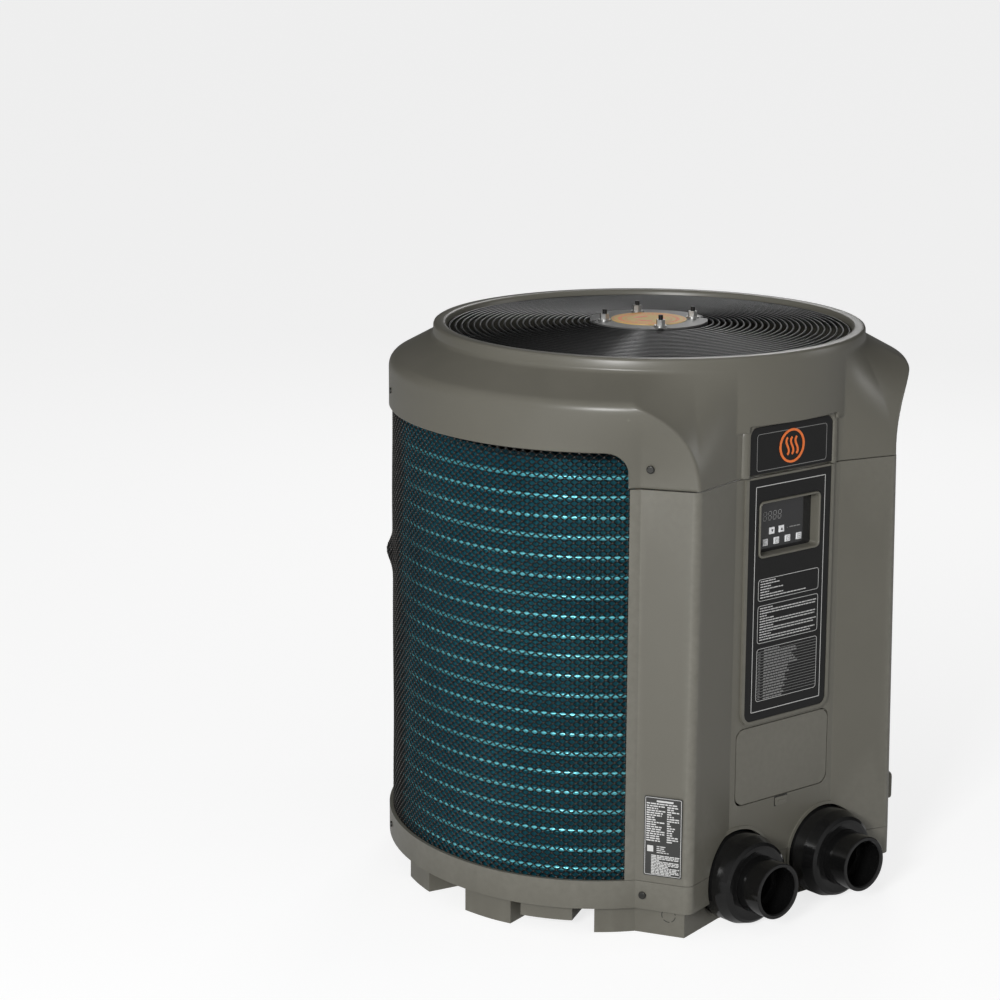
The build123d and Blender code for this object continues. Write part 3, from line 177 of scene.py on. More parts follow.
soft_light("key_light", (-3.6, -2.2, 1.7), (0, 0, 0.4), 0.9, 118)
soft_light("rim_light", (2.2, 1.8, 2.2), (0, 0, 0.7), 0.8, 14)
soft_light("side_light", (3.2, -2.2, 1.1), (0, 0, 0.4), 0.6, 9)

# %% [markdown]
# ## Effects shared by several finishes
# Moulded plastic has a fine spark-eroded grain, large pale clouds where the mould flowed,
# dust on faces that look up, and rubbed edges. Each is a node group, so that each finish
# can use it with its own strength. They read Object coordinates, which are the frame's
# metres, so a pattern keeps its real size on every piece.

# %% Node helpers


def new_group(name, takes, gives):
    """An empty node group with float inputs (name, default) and float outputs."""
    group = bpy.data.node_groups.new(name, "ShaderNodeTree")
    for label, value in takes:
        socket = group.interface.new_socket(label, in_out="INPUT", socket_type="NodeSocketFloat")
        socket.default_value = value
    for label in gives:
        group.interface.new_socket(label, in_out="OUTPUT", socket_type="NodeSocketFloat")
    return group, group.nodes.new("NodeGroupInput"), group.nodes.new("NodeGroupOutput")


def math_node(tree, operation, first, second=None, clamp=False):
    """A Math node fed by sockets or numbers."""
    node = tree.nodes.new("ShaderNodeMath")
    node.operation, node.use_clamp = operation, clamp
    for socket, value in zip(node.inputs, (first, second)):
        if value is None:
            continue
        if isinstance(value, (int, float)):
            socket.default_value = value
        else:
            tree.links.new(value, socket)
    return node.outputs[0]


def noise(tree, where, scale, detail=2.0):
    """A noise pattern on the given coordinates."""
    node = tree.nodes.new("ShaderNodeTexNoise")
    node.inputs["Detail"].default_value = detail
    tree.links.new(where, node.inputs["Vector"])
    if isinstance(scale, (int, float)):
        node.inputs["Scale"].default_value = scale
    else:
        tree.links.new(scale, node.inputs["Scale"])
    return node.outputs["Fac"]


# %% [markdown]
# Grain gives three patterns: a fine height for the bump, slow clouds for tone, and sparse
# pale specks, which are the peaks of a noise with everything below them cut off.

# %% Grain group
SPECK_CUT, SPECK_GAIN = 0.69, 6.0
grain, takes, gives = new_group("grain", (("Scale", 900.0),), ("Height", "Clouds", "Specks"))
where = grain.nodes.new("ShaderNodeTexCoord").outputs["Object"]
grain.links.new(noise(grain, where, takes.outputs["Scale"]), gives.inputs["Height"])
grain.links.new(noise(grain, where, 7.0, 3.0), gives.inputs["Clouds"])
specks = math_node(grain, "SUBTRACT", noise(grain, where, 420.0, 0.0), SPECK_CUT)
grain.links.new(math_node(grain, "MULTIPLY", specks, SPECK_GAIN, clamp=True), gives.inputs["Specks"])
print("grain gives", [socket.name for socket in gives.inputs if socket.name])

# %% [markdown]
# Dust settles on what faces up. The square of the normal's Z is 1 on a level face and
# falls to 0 on an upright one, and a noise breaks it into patches.

# %% Dust group
dust, takes, gives = new_group("dust", (("Amount", 0.3),), ("Mask",))
where = dust.nodes.new("ShaderNodeTexCoord").outputs["Object"]
split = dust.nodes.new("ShaderNodeSeparateXYZ")
dust.links.new(dust.nodes.new("ShaderNodeNewGeometry").outputs["Normal"], split.inputs[0])
facing_up = math_node(dust, "POWER", math_node(dust, "MAXIMUM", split.outputs["Z"], 0.0), 2.0)
patches = math_node(dust, "MULTIPLY", noise(dust, where, 26.0, 6.0), facing_up)
settled = math_node(dust, "MULTIPLY", patches, takes.outputs["Amount"], clamp=True)
dust.links.new(settled, gives.inputs["Mask"])
print("dust gives", [socket.name for socket in gives.inputs if socket.name])

# %% [markdown]
# Edges are rubbed pale by hands and cartons. Pointiness is above a half where a surface
# turns outwards, so what is over that, broken up by a noise, is the rubbed part.

# %% Edge wear group
EDGE_CUT, EDGE_GAIN = 0.53, 9.0
edge_wear, takes, gives = new_group("edge_wear", (("Amount", 0.5),), ("Mask",))
where = edge_wear.nodes.new("ShaderNodeTexCoord").outputs["Object"]
pointed = edge_wear.nodes.new("ShaderNodeNewGeometry").outputs["Pointiness"]
above = math_node(edge_wear, "SUBTRACT", pointed, EDGE_CUT)
sharp = math_node(edge_wear, "MULTIPLY", above, EDGE_GAIN, clamp=True)
broken = math_node(edge_wear, "MULTIPLY", sharp, noise(edge_wear, where, 120.0, 4.0))
bare = math_node(edge_wear, "MULTIPLY", broken, takes.outputs["Amount"], clamp=True)
edge_wear.links.new(bare, gives.inputs["Mask"])
print("groups", [g.name for g in bpy.data.node_groups])

# %% [markdown]
# ## A finish
# All finishes share one recipe: a base colour that drifts between two tones with the
# clouds, paler where dust lies and where edges are rubbed, a roughness that drifts the
# same way, and a fine bump from the grain. What is the same all over a surface, such as
# metallic, coat and specular level, is set on the shader's own sockets.

# %% Finish recipe
DUST_TONE = (0.42, 0.39, 0.33)
SPECK_SHARE = 0.25
already_there = len(bpy.data.materials)


def mix_colour(tree, share, first, second):
    """A colour mix; first and second are sockets or colours."""
    node = tree.nodes.new("ShaderNodeMix")
    node.data_type = "RGBA"
    tree.links.new(share, node.inputs["Factor"])
    for socket, value in ((node.inputs["A"], first), (node.inputs["B"], second)):
        if isinstance(value, tuple):
            socket.default_value = (*value, 1.0)
        else:
            tree.links.new(value, socket)
    return node.outputs["Result"]


def placed(tree, group, **values):
    """A node group placed in a material with its own values."""
    node = tree.nodes.new("ShaderNodeGroup")
    node.node_tree = group
    for label, value in values.items():
        node.inputs[label].default_value = value
    return node


def finish(name, dark, pale, rough, spread=0.08, scale=900.0, depth=0.05, dusty=0.0, worn=0.0,
           rubbed=(0.5, 0.5, 0.48), metallic=0.0, coat=0.0, coat_rough=0.1, specular=0.5):
    """A finished surface: two tones, grain, dust, rubbed edges and a drifting roughness."""
    material = bpy.data.materials.new(name)
    material.use_nodes = True
    tree = material.node_tree
    shader = tree.nodes["Principled BSDF"]
    shader.inputs["Metallic"].default_value = metallic
    shader.inputs["Coat Weight"].default_value = coat
    shader.inputs["Coat Roughness"].default_value = coat_rough
    shader.inputs["Specular IOR Level"].default_value = specular
    skin = placed(tree, grain, Scale=scale)
    colour = mix_colour(tree, skin.outputs["Clouds"], dark, pale)
    specks = math_node(tree, "MULTIPLY", skin.outputs["Specks"], SPECK_SHARE)
    colour = mix_colour(tree, specks, colour, pale)
    if worn:
        colour = mix_colour(tree, placed(tree, edge_wear, Amount=worn).outputs["Mask"], colour, rubbed)
    if dusty:
        colour = mix_colour(tree, placed(tree, dust, Amount=dusty).outputs["Mask"], colour, DUST_TONE)
    tree.links.new(colour, shader.inputs["Base Color"])
    centred = math_node(tree, "SUBTRACT", skin.outputs["Clouds"], 0.5)
    drift = math_node(tree, "MULTIPLY", centred, 2 * spread)
    tree.links.new(math_node(tree, "ADD", drift, rough), shader.inputs["Roughness"])
    bump = tree.nodes.new("ShaderNodeBump")
    bump.inputs["Strength"].default_value = 1.0
    bump.inputs["Distance"].default_value = depth * MM
    tree.links.new(skin.outputs["Height"], bump.inputs["Height"])
    tree.links.new(bump.outputs["Normal"], shader.inputs["Normal"])
    return material


# %% [markdown]
# The casing is one warm grey plastic with a satin grain. The unions and the overlay are
# black: the first is shiny moulded PVC, the second is a screen-printed film. The guard is
# dipped in black plastic, which is smooth, so its bump is next to nothing.

# %% Casing, unions and guard
casing_grey = finish("casing_grey", (0.118, 0.113, 0.092), (0.136, 0.130, 0.107), 0.36, 0.05, 1100, 0.022,
                     dusty=0.10, worn=0.30, rubbed=(0.34, 0.33, 0.29), specular=0.5)
# The dark finish below is the wiring box's own plastic, and also painted shade in the knockout's groove and
# the latch's notch.
dark_plastic_and_painted_shade = finish("dark_plastic_and_painted_shade", (0.020, 0.020, 0.019), (0.030, 0.029, 0.027), 0.55, 0.08, 900, 0.03)
pvc_black = finish("pvc_black", (0.004, 0.004, 0.004), (0.007, 0.007, 0.007), 0.15, 0.06, 500, 0.012,
                   worn=0.25, rubbed=(0.06, 0.06, 0.06), specular=0.40)
film_black = finish("film_black", (0.006, 0.006, 0.006), (0.009, 0.009, 0.009), 0.42, 0.05, 1500, 0.008,
                    specular=0.3)
wire_black = finish("wire_black", (0.003, 0.003, 0.003), (0.007, 0.007, 0.007), 0.30, 0.03, 40, 0.0003,
                    specular=0.6)
plate_grey = finish("plate_grey", (0.045, 0.045, 0.046), (0.075, 0.074, 0.074), 0.34, 0.08, 600, 0.02,
                    dusty=0.10, worn=0.3, metallic=0.2)
print("finishes so far", len(bpy.data.materials) - already_there)

# %% [markdown]
# The netting is dull black; its knots, where the strands are welded, carry a painted glint.
# The fins are aluminium under a blue-green coat, so they are partly metallic. Printed ink
# is matt and flat, and the keys are pale moulded plastic.

# %% Coil, print and keys
net_black = finish("net_black", (0.004, 0.004, 0.004), (0.009, 0.009, 0.009), 0.45, 0.1, 1500, 0.01,
                   specular=0.3)
# The knots' pale brown below is a painted glint, not the colour of the black plastic.
knot_painted_glint = finish("knot_painted_glint", (0.030, 0.030, 0.028), (0.10, 0.085, 0.070), 0.30, 0.1, 1500, 0.02,
                  specular=0.8)
fin_teal = finish("fin_teal", (0.014, 0.170, 0.260), (0.040, 0.310, 0.400), 0.38, 0.1, 700, 0.03,
                  metallic=0.55)
# The bands' bright cyan below is a lit copy of the fin coat: a painted highlight on the tube collars.
fin_painted_highlight = finish("fin_painted_highlight", (0.10, 0.62, 0.76), (0.28, 0.88, 0.95), 0.22, 0.1, 260, 0.05,
                    metallic=0.35)
# The near-black blue below is painted shade for the deep coil behind the fins.
coil_painted_shade = finish("coil_painted_shade", (0.006, 0.016, 0.022), (0.010, 0.030, 0.040), 0.6, 0.05, 700, 0.02)
label_yellow = finish("label_yellow", (0.62, 0.40, 0.05), (0.80, 0.54, 0.10), 0.42, 0.06, 300, 0.01,
                      coat=0.1)
ink_orange = finish("ink_orange", (0.78, 0.16, 0.03), (0.86, 0.20, 0.04), 0.40, 0.05, 1200, 0.01)
ink_white = finish("ink_white", (0.55, 0.55, 0.54), (0.66, 0.66, 0.65), 0.45, 0.05, 1200, 0.01)
ink_grey = finish("ink_grey", (0.20, 0.20, 0.20), (0.27, 0.27, 0.26), 0.45, 0.05, 1200, 0.01)
foil_grey = finish("foil_grey", (0.035, 0.035, 0.034), (0.05, 0.05, 0.048), 0.40, 0.06, 800, 0.01,
                   metallic=0.2)
key_white = finish("key_white", (0.78, 0.79, 0.80), (0.88, 0.88, 0.89), 0.40, 0.05, 900, 0.02)
recess_black = finish("recess_black", (0.022, 0.022, 0.022), (0.034, 0.034, 0.033), 0.42, 0.06, 1000, 0.03,
                      worn=0.3)
print("finishes so far", len(bpy.data.materials) - already_there)

# %% [markdown]
# Metals keep a plain metallic value and take their life from the roughness. The rest are
# the finishes of the works inside: paint, rubber, copper, titanium, and the board.

# %% Metals and inner parts
steel_zinc = finish("steel_zinc", (0.38, 0.38, 0.37), (0.50, 0.50, 0.49), 0.34, 0.1, 300, 0.04,
                    metallic=0.9)
steel_ground = finish("steel_ground", (0.52, 0.52, 0.52), (0.62, 0.62, 0.62), 0.22, 0.06, 900, 0.02,
                      metallic=1.0)
screw_dark = finish("screw_dark", (0.035, 0.035, 0.033), (0.07, 0.07, 0.065), 0.32, 0.1, 500, 0.03,
                    metallic=0.8)
paint_black = finish("paint_black", (0.004, 0.004, 0.004), (0.008, 0.008, 0.008), 0.50, 0.08, 500, 0.04,
                     specular=0.3)
copper = finish("copper", (0.42, 0.16, 0.08), (0.62, 0.27, 0.14), 0.30, 0.12, 60, 0.03, metallic=1.0)
brass = finish("brass", (0.50, 0.34, 0.12), (0.60, 0.43, 0.17), 0.28, 0.08, 400, 0.02, metallic=1.0)
rubber = finish("rubber", (0.012, 0.012, 0.012), (0.022, 0.022, 0.022), 0.75, 0.08, 500, 0.06, dusty=0.2)
blade_dark = finish("blade_dark", (0.010, 0.010, 0.011), (0.018, 0.018, 0.019), 0.38, 0.08, 400, 0.02,
                    specular=0.3)
vessel_black = finish("vessel_black", (0.020, 0.020, 0.021), (0.030, 0.030, 0.031), 0.50, 0.08, 500, 0.03)
pipe_dark = finish("pipe_dark", (0.045, 0.045, 0.047), (0.060, 0.060, 0.062), 0.40, 0.08, 500, 0.02)
titanium = finish("titanium", (0.30, 0.29, 0.27), (0.38, 0.37, 0.35), 0.35, 0.1, 200, 0.02, metallic=1.0)
board_green = finish("board_green", (0.010, 0.070, 0.030), (0.018, 0.100, 0.045), 0.35, 0.08, 900, 0.02,
                     coat=0.2)
block_beige = finish("block_beige", (0.20, 0.17, 0.12), (0.26, 0.22, 0.16), 0.5, 0.08, 700, 0.03)
glass_black = finish("glass_black", (0.010, 0.010, 0.011), (0.014, 0.014, 0.015), 0.10, 0.03, 900, 0.004,
                     coat=0.5)
print("all finishes", len(bpy.data.materials) - already_there)

# %% [markdown]
# ## Every CAD node gets its finish
# The pieces that only the maker sees, such as the compressor and the pipes, keep their CAD
# shape and are painted here. What is seen close up is built again further down.

# %% Finishes on the CAD nodes
PAINT = {
    casing_grey: ("base_pan", "front_panel", "top_cover", "service_door", "service_latch", "power_inlet"),
    dark_plastic_and_painted_shade: ("wiring_box",),
    pvc_black: ("union_bodies", "union_tails", "union_nut_in", "union_nut_out"),
    film_black: ("badge_plate", "control_label"),
    wire_black: ("fan_guard", "guard_clips"),
    plate_grey: ("hub_plate",),
    label_yellow: ("hub_label",),
    ink_orange: ("badge_emblem",),
    foil_grey: ("rating_label",),
    net_black: ("coil_guard_net",),
    fin_teal: ("evaporator_fins",),
    key_white: ("key_down", "key_up", "key_power", "key_mode", "key_timer", "key_set"),
    recess_black: ("control_housing",),
    steel_zinc: ("coil_end_plates", "electrical_box", "motor_nuts", "compressor_bolts"),
    steel_ground: ("motor_shaft",),
    screw_dark: ("case_screws",),
    paint_black: ("fan_motor", "compressor", "terminal_cover", "fan_hub"),
    copper: ("return_bends", "suction_header", "suction_line", "discharge_line", "liquid_line",
             "filter_drier"),
    brass: ("distributor", "expansion_valve"),
    rubber: ("union_seals", "compressor_grommets"),
    blade_dark: ("fan_blades",),
    vessel_black: ("exchanger_shell", "exchanger_lid"),
    pipe_dark: ("water_pipe_in", "water_pipe_out", "water_switch"),
    titanium: ("titanium_coil",),
    board_green: ("control_board",),
    block_beige: ("terminal_block", "contactor", "contactor_plunger", "capacitor"),
}
for material, names in PAINT.items():
    for name in names:
        if name in nodes:
            mesh = nodes[name].data
            mesh.materials.clear()
            mesh.materials.append(material)
painted = {name for names in PAINT.values() for name in names}
print("painted", len(painted & set(nodes)), "nodes, of", len(nodes))
print("without a finish", sorted(set(nodes) - painted), "unknown", sorted(painted - set(nodes)))

# %% [markdown]
# ## Surfaces from grids of points
# A moulded wall is a closed skin, so most pieces here are grids of points that run round
# and join up with themselves. A grid is worked out as one numpy array and handed to
# Blender whole. Each closed skin is turned so that its faces look outwards, by the sign of
# the volume that it encloses.

# %% Grid helpers


def grid_faces(rows, columns, around=False, along=False):
    """Quads of a grid; around joins last column to first, along joins last row to first."""
    index = np.arange(rows * columns).reshape(rows, columns)
    if around:
        index = np.concatenate((index, index[:, :1]), 1)
    if along:
        index = np.concatenate((index, index[:1]), 0)
    return np.stack((index[:-1, :-1], index[:-1, 1:], index[1:, 1:], index[1:, :-1]), -1).reshape(-1, 4)


def outwards(points, faces):
    """The faces turned outwards: a sixth of the sum of the corners' triple products is the volume."""
    a, b, c, d = (points[faces[:, k]] for k in range(4))
    volume = (a * np.cross(b, c)).sum() + (a * np.cross(c, d)).sum()
    return faces if volume > 0 else faces[:, ::-1]


def make_piece(name, points, faces, material, body="casing", smooth=True):
    """A mesh object in the frame from points in millimetres and quads."""
    mesh = bpy.data.meshes.new(name)
    mesh.vertices.add(len(points))
    mesh.vertices.foreach_set("co", np.ascontiguousarray(points * MM, np.float32).ravel())
    mesh.loops.add(len(faces) * 4)
    mesh.loops.foreach_set("vertex_index", np.ascontiguousarray(faces, np.int32).ravel())
    mesh.polygons.add(len(faces))
    mesh.polygons.foreach_set("loop_start", np.arange(len(faces), dtype=np.int32) * 4)
    mesh.polygons.foreach_set("use_smooth", np.full(len(faces), smooth))
    mesh.update(calc_edges=True)
    mesh.validate()
    mesh.materials.append(material)
    obj = bpy.data.objects.new(name, mesh)
    bpy.context.scene.collection.objects.link(obj)
    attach(obj, body)
    return obj


def joined(parts):
    """Several (points, faces) as one."""
    starts = np.cumsum([0] + [len(points) for points, _ in parts[:-1]])
    points = np.concatenate([points for points, _ in parts])
    faces = np.concatenate([faces + start for (_, faces), start in zip(parts, starts)])
    return points, faces


def copies(points, faces, moved):
    """Many copies of one small shape: moved has one set of its points for each copy."""
    count, size = moved.shape[:2]
    faces = outwards(moved[0], faces)
    many = (faces[None] + (np.arange(count) * size)[:, None, None]).reshape(-1, 4)
    return moved.reshape(-1, 3), many


# %% [markdown]
# ## The plan of the casing
# Seen from above, the casing is a circle at the back, a tighter arc on each flank that
# swings in to a waist, and a flat wing from the waist out to the front corner. The cover
# starts on that plan at its seam and fades into a plain drum, whose shoulder then leans in
# to the collar. In the middle of the front a hollow sweep pulls the wall in under the
# collar. All of it can be said as a radius for each plan angle and height.

# %% Plan and levels of the casing
BODY_R, FLANK_FROM, FLANK_R = 345.0, 80.0, 236.0
FRONT_DEPTH, FLAT_HALF = 267.0, 92.0
JOINT = BODY_R * np.array([math.sin(math.radians(FLANK_FROM)), -math.cos(math.radians(FLANK_FROM))])
FLANK_C = JOINT * (1 - FLANK_R / BODY_R)
WAIST, CORNER_TOP = np.array([217.0, -228.0]), np.array([176.0, -288.0])
WAIST_PHI = math.degrees(math.atan2(WAIST[0], -WAIST[1]))
CORNER_PHI = math.degrees(math.atan2(CORNER_TOP[0], -CORNER_TOP[1]))
SEAM_Z, SKIRT_Z, CREASE_Z, COLLAR_Z, TOP_Z, THROAT_Z = 581.0, 627.0, 693.0, 721.0, 737.0, 691.0
SKIRT_R, SHOULDER_R, COLLAR_R, THROAT_R, WALL = 343.0, 336.0, 284.5, 267.0, 4.0
print("waist at", round(WAIST_PHI, 1), "degrees, front corner at", round(CORNER_PHI, 1))

# %% [markdown]
# The plan is split in two formulas. The front one is a flat face and a straight return to
# the corner. The side one is the round back, the flank's arc and the straight wing. Where a
# line meets a ray from the axis comes from the cross products of their directions.

# %% Radius of the plan
RETURN_WIDE, RETURN_DEEP = CORNER_TOP[0] - FLAT_HALF, -CORNER_TOP[1] - FRONT_DEPTH
LEAST_LEAN = 4.2  # under this a ray runs nearly along the return and doesn't meet it


def smoothstep(t):
    """Slow at both ends: 3 t squared minus 2 t cubed."""
    t = np.clip(t, 0, 1)
    return t * t * (3 - 2 * t)


def front_radius(phi):
    """Distance from the axis to the front face, flat in the middle and then a straight return."""
    a = np.radians(phi)
    flat = FRONT_DEPTH / np.cos(a)
    lean = np.cos(a) * RETURN_WIDE - np.sin(a) * RETURN_DEEP
    t = (np.sin(a) * FRONT_DEPTH - np.cos(a) * FLAT_HALF) / np.maximum(lean, 1e-6)
    slanted = np.hypot(FLAT_HALF + RETURN_WIDE * t, -FRONT_DEPTH - RETURN_DEEP * t)
    return np.where(lean <= LEAST_LEAN, 4 * BODY_R, np.where(t <= 0, flat, slanted))


def side_radius(phi):
    """Distance from the axis to the flank: the round back, the flank arc, then the straight wing."""
    a = np.radians(phi)
    way = np.stack((np.sin(a), -np.cos(a)), -1)
    along = way @ FLANK_C
    arc = along + np.sqrt(np.maximum(along**2 - FLANK_C @ FLANK_C + FLANK_R**2, 0))
    run = CORNER_TOP - WAIST
    cross = WAIST[0] * run[1] - WAIST[1] * run[0]
    wing = cross / (way[..., 0] * run[1] - way[..., 1] * run[0])
    return np.where(phi >= FLANK_FROM, BODY_R, np.where(phi >= WAIST_PHI, arc, wing))


print("flank at the waist", side_radius(np.array([WAIST_PHI])).round(1))

# %% [markdown]
# The cover blends that plan into the drum's profile as it rises. The hollow sweep in front
# starts late in the middle and earlier towards the corners, which a power of the height
# gives. Where sweep and flank meet, a small ridge keeps the crease crisp, as a moulder does
# by leaving the tool's edge sharp there.

# %% Radius of the cover
ROLL_FROM = 676.0
SWEEP_MIDDLE, SWEEP_CORNER = 4.0, 1.5
RIDGE, RIDGE_WIDE, RIDGE_LIFT, RIDGE_GROWS, RIDGE_END, RIDGE_FADES = 1.1, 3.0, 20, 40, 700, 20


def drum_radius(z):
    """The drum's own profile: upright skirt, an edge rolled in by a cubic, leaning shoulder."""
    rolled = SKIRT_R - (SKIRT_R - SHOULDER_R) * np.clip((z - ROLL_FROM) / (CREASE_Z - ROLL_FROM), 0, 1) ** 3
    shoulder = SHOULDER_R + (COLLAR_R - SHOULDER_R) * (z - CREASE_Z) / (COLLAR_Z - CREASE_Z)
    return np.where(z <= CREASE_Z, rolled, shoulder)


def softly_less(a, b, soft):
    """The smaller of two values, with the change from one to the other rounded over soft."""
    h = np.clip(0.5 + 0.5 * (b - a) / soft, 0, 1)
    return b + (a - b) * h - soft * h * (1 - h)


def cover_radius(phi, z, soft=3.0):
    """The cover's radius at a plan angle from the front (0 to 180 degrees) and a height."""
    phi = np.abs((phi + 180) % 360 - 180)
    fade = 1 - smoothstep((z - SEAM_Z) / (CREASE_Z - SEAM_Z))
    side = drum_radius(z) - (BODY_R - side_radius(phi)) * fade
    rise = np.clip((z - SEAM_Z) / (COLLAR_Z - SEAM_Z), 0, 1)
    base = front_radius(phi)
    late = SWEEP_MIDDLE - (SWEEP_MIDDLE - SWEEP_CORNER) * np.minimum(phi / CORNER_PHI, 1)
    sweep = base + (COLLAR_R - base) * rise**late
    ridge = RIDGE * np.exp(-(((side - sweep) / RIDGE_WIDE) ** 2))
    ridge = ridge * smoothstep((z - SEAM_Z - RIDGE_LIFT) / RIDGE_GROWS)
    ridge = ridge * smoothstep((RIDGE_END - z) / RIDGE_FADES)
    return softly_less(side, sweep, soft) + ridge


seam_angles = np.array([0.0, CORNER_PHI, WAIST_PHI, 90.0])
print("radius at the seam: front, corner, waist, side", cover_radius(seam_angles, SEAM_Z).round(1))

# %% [markdown]
# ## The cover
# The real cover is rotomoulded or blow-moulded in one piece, which gives it soft edges that
# catch the light. Round the grid goes by plan angle. Across, it climbs the outer wall from
# the lower edge, goes over the collar's lip, down the throat and back along the inner wall.
# The lower edge is lower in front, where it meets the panel, than over the coil, and turns
# from one to the other with a rounded corner.

# %% Lower edge of the cover
WINDOW_PHI, WINDOW_R = 46.4, 27.0
EDGE_RUN = 310  # millimetres of wall to a radian of plan angle, near the window's corner


def lower_edge(phi):
    """Height of the cover's lower edge: the seam in front, then up a rounded corner over the coil."""
    off = (np.abs((phi + 180) % 360 - 180) - WINDOW_PHI) * math.pi / 180 * EDGE_RUN
    curved = SKIRT_Z - WINDOW_R + np.sqrt(np.maximum(WINDOW_R**2 - np.maximum(WINDOW_R - off, 0) ** 2, 0))
    return np.where(off < 0, SEAM_Z, curved)


in_front = np.linspace(0, WINDOW_PHI - 0.05, 110)
at_corner = WINDOW_PHI + np.linspace(0, 1, 16) ** 2 * 5.2
behind = np.linspace(52, 180, 130)
half = np.unique(np.concatenate((in_front, at_corner, behind)))
angles = np.concatenate((-half[:0:-1], half))[:-1]
edge = lower_edge(angles)
print("cover columns", len(angles), "edge from", edge.min(), "to", edge.max())

# %% [markdown]
# The rows are listed from the hem outwards and up. The hem is a small rounded turn. Up to
# a level just over the skirt, the rows share out the height that is left over the edge, so
# they crowd nowhere. From there they are level. The collar is a profile of a few points,
# and the inner wall comes back down inside the outer one.

# %% Rows of the cover
HEM = ((2.6, WALL - 0.4), (0.7, WALL - 1.2), (0.0, 2.0), (0.5, 0.7), (1.6, 0.0))
HEM_TOP, LEVEL_Z, UNDER_COLLAR_Z, LINING_Z = 1.6, SKIRT_Z + 12, 718.5, 714
COLLAR_PROFILE = ((COLLAR_R, 721.5), (COLLAR_R, 724), (COLLAR_R - 0.3, 733.5), (COLLAR_R - 1.1, 735.6),
                  (COLLAR_R - 2.8, 736.7), (COLLAR_R - 5, TOP_Z), (THROAT_R + 5, TOP_Z),
                  (THROAT_R + 2.6, 736.6), (THROAT_R + 0.9, 735.4), (THROAT_R, 733), (THROAT_R, 712),
                  (THROAT_R, THROAT_Z), (THROAT_R + WALL, THROAT_Z), (THROAT_R + WALL, 712))
rows = []
for lift, inset in HEM:
    z = edge + lift
    rows.append((cover_radius(angles, z) - inset, z))
for share in np.linspace(0, 1, 22)[1:]:
    z = edge + HEM_TOP + (LEVEL_Z - edge - HEM_TOP) * share
    rows.append((cover_radius(angles, z), z))
for level in np.linspace(LEVEL_Z, UNDER_COLLAR_Z, 52)[1:]:
    z = np.full_like(angles, level)
    rows.append((np.maximum(cover_radius(angles, z), COLLAR_R), z))
for radius, level in COLLAR_PROFILE:
    rows.append((np.full_like(angles, radius), np.full_like(angles, level)))
for level in np.linspace(LINING_Z, LEVEL_Z, 30):
    z = np.full_like(angles, level)
    rows.append((np.maximum(cover_radius(angles, z) - WALL - 1, THROAT_R + WALL + 0.2), z))
print("cover rows", len(rows))

# %% [markdown]
# Each row becomes a ring of points: X is the radius times the sine of the plan angle, and Y
# is minus the radius times its cosine. Behind the badge the wall is set back into a shallow
# pocket, so that the plate and its hood have room.

# %% Cover
POCKET_HALF, POCKET_TOP, POCKET_Y, FRONT_ONLY_Y = 76.0, 648.0, -264.5, -258
r = np.array([radius for radius, _ in rows])
z = np.array([level for _, level in rows])
turn = np.radians(angles)
cover_points = np.stack((r * np.sin(turn), -r * np.cos(turn), z), -1)
faces = grid_faces(*r.shape, around=True, along=True)
flat_points = cover_points.reshape(-1, 3)
front = (flat_points[:, 1] < FRONT_ONLY_Y) & (np.abs(flat_points[:, 0]) < POCKET_HALF)
front &= flat_points[:, 2] < POCKET_TOP
flat_points[front, 1] = np.maximum(flat_points[front, 1], POCKET_Y)
cover = make_piece("cover_shell", flat_points, outwards(flat_points, faces), casing_grey)
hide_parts("top_cover")
print("cover", cover_points.shape, "top", flat_points[:, 2].max())

# %% [markdown]
# ## The coil behind its net
# The coil is hundreds of thin aluminium fins, each a plate that stands on edge, coated
# blue against salt air. They follow the casing's plan from one front upright round the back
# to the other. The line below walks that plan at a given depth inside it, at even steps.

# %% Coil line
FLANK_STEPS = 80


def coil_line(inset, spacing):
    """Points and outward directions along the coil's plan, round the back from waist to waist.

    The flank's arc and the round back are sampled by angle, the other flank is their mirror,
    and the whole line is then sampled again at even steps of its length.
    """
    first = math.degrees(math.atan2(WAIST[0] - FLANK_C[0], -(WAIST[1] - FLANK_C[1])))
    flank = np.radians(np.linspace(first, FLANK_FROM, FLANK_STEPS))
    back = np.radians(np.linspace(FLANK_FROM, 360 - FLANK_FROM, 260)[1:])
    way_f = np.stack((np.sin(flank), -np.cos(flank)), -1)
    way_b = np.stack((np.sin(back), -np.cos(back)), -1)
    points = np.concatenate((FLANK_C + (FLANK_R - inset) * way_f, (BODY_R - inset) * way_b))
    ways = np.concatenate((way_f, way_b))
    mirror = np.array([-1.0, 1.0])
    points = np.concatenate((points, (points[:FLANK_STEPS - 1] * mirror)[::-1]))
    ways = np.concatenate((ways, (ways[:FLANK_STEPS - 1] * mirror)[::-1]))
    run = np.concatenate(([0], np.cumsum(np.linalg.norm(np.diff(points, axis=0), axis=1))))
    steps = np.arange(0, run[-1], spacing)
    at = [np.interp(steps, run, values) for values in (*points.T, *ways.T)]
    return np.stack(at[:2], -1), np.stack(at[2:], -1)


print("coil is", round(len(coil_line(0.0, 1.0)[0]) * MM, 2), "m long in plan")

# %% [markdown]
# Each fin is a plain strip on edge, a few faces only, because there are hundreds of them.
# An array modifier could repeat a fin, but it can't follow this plan, so all fins come from
# one array of points.

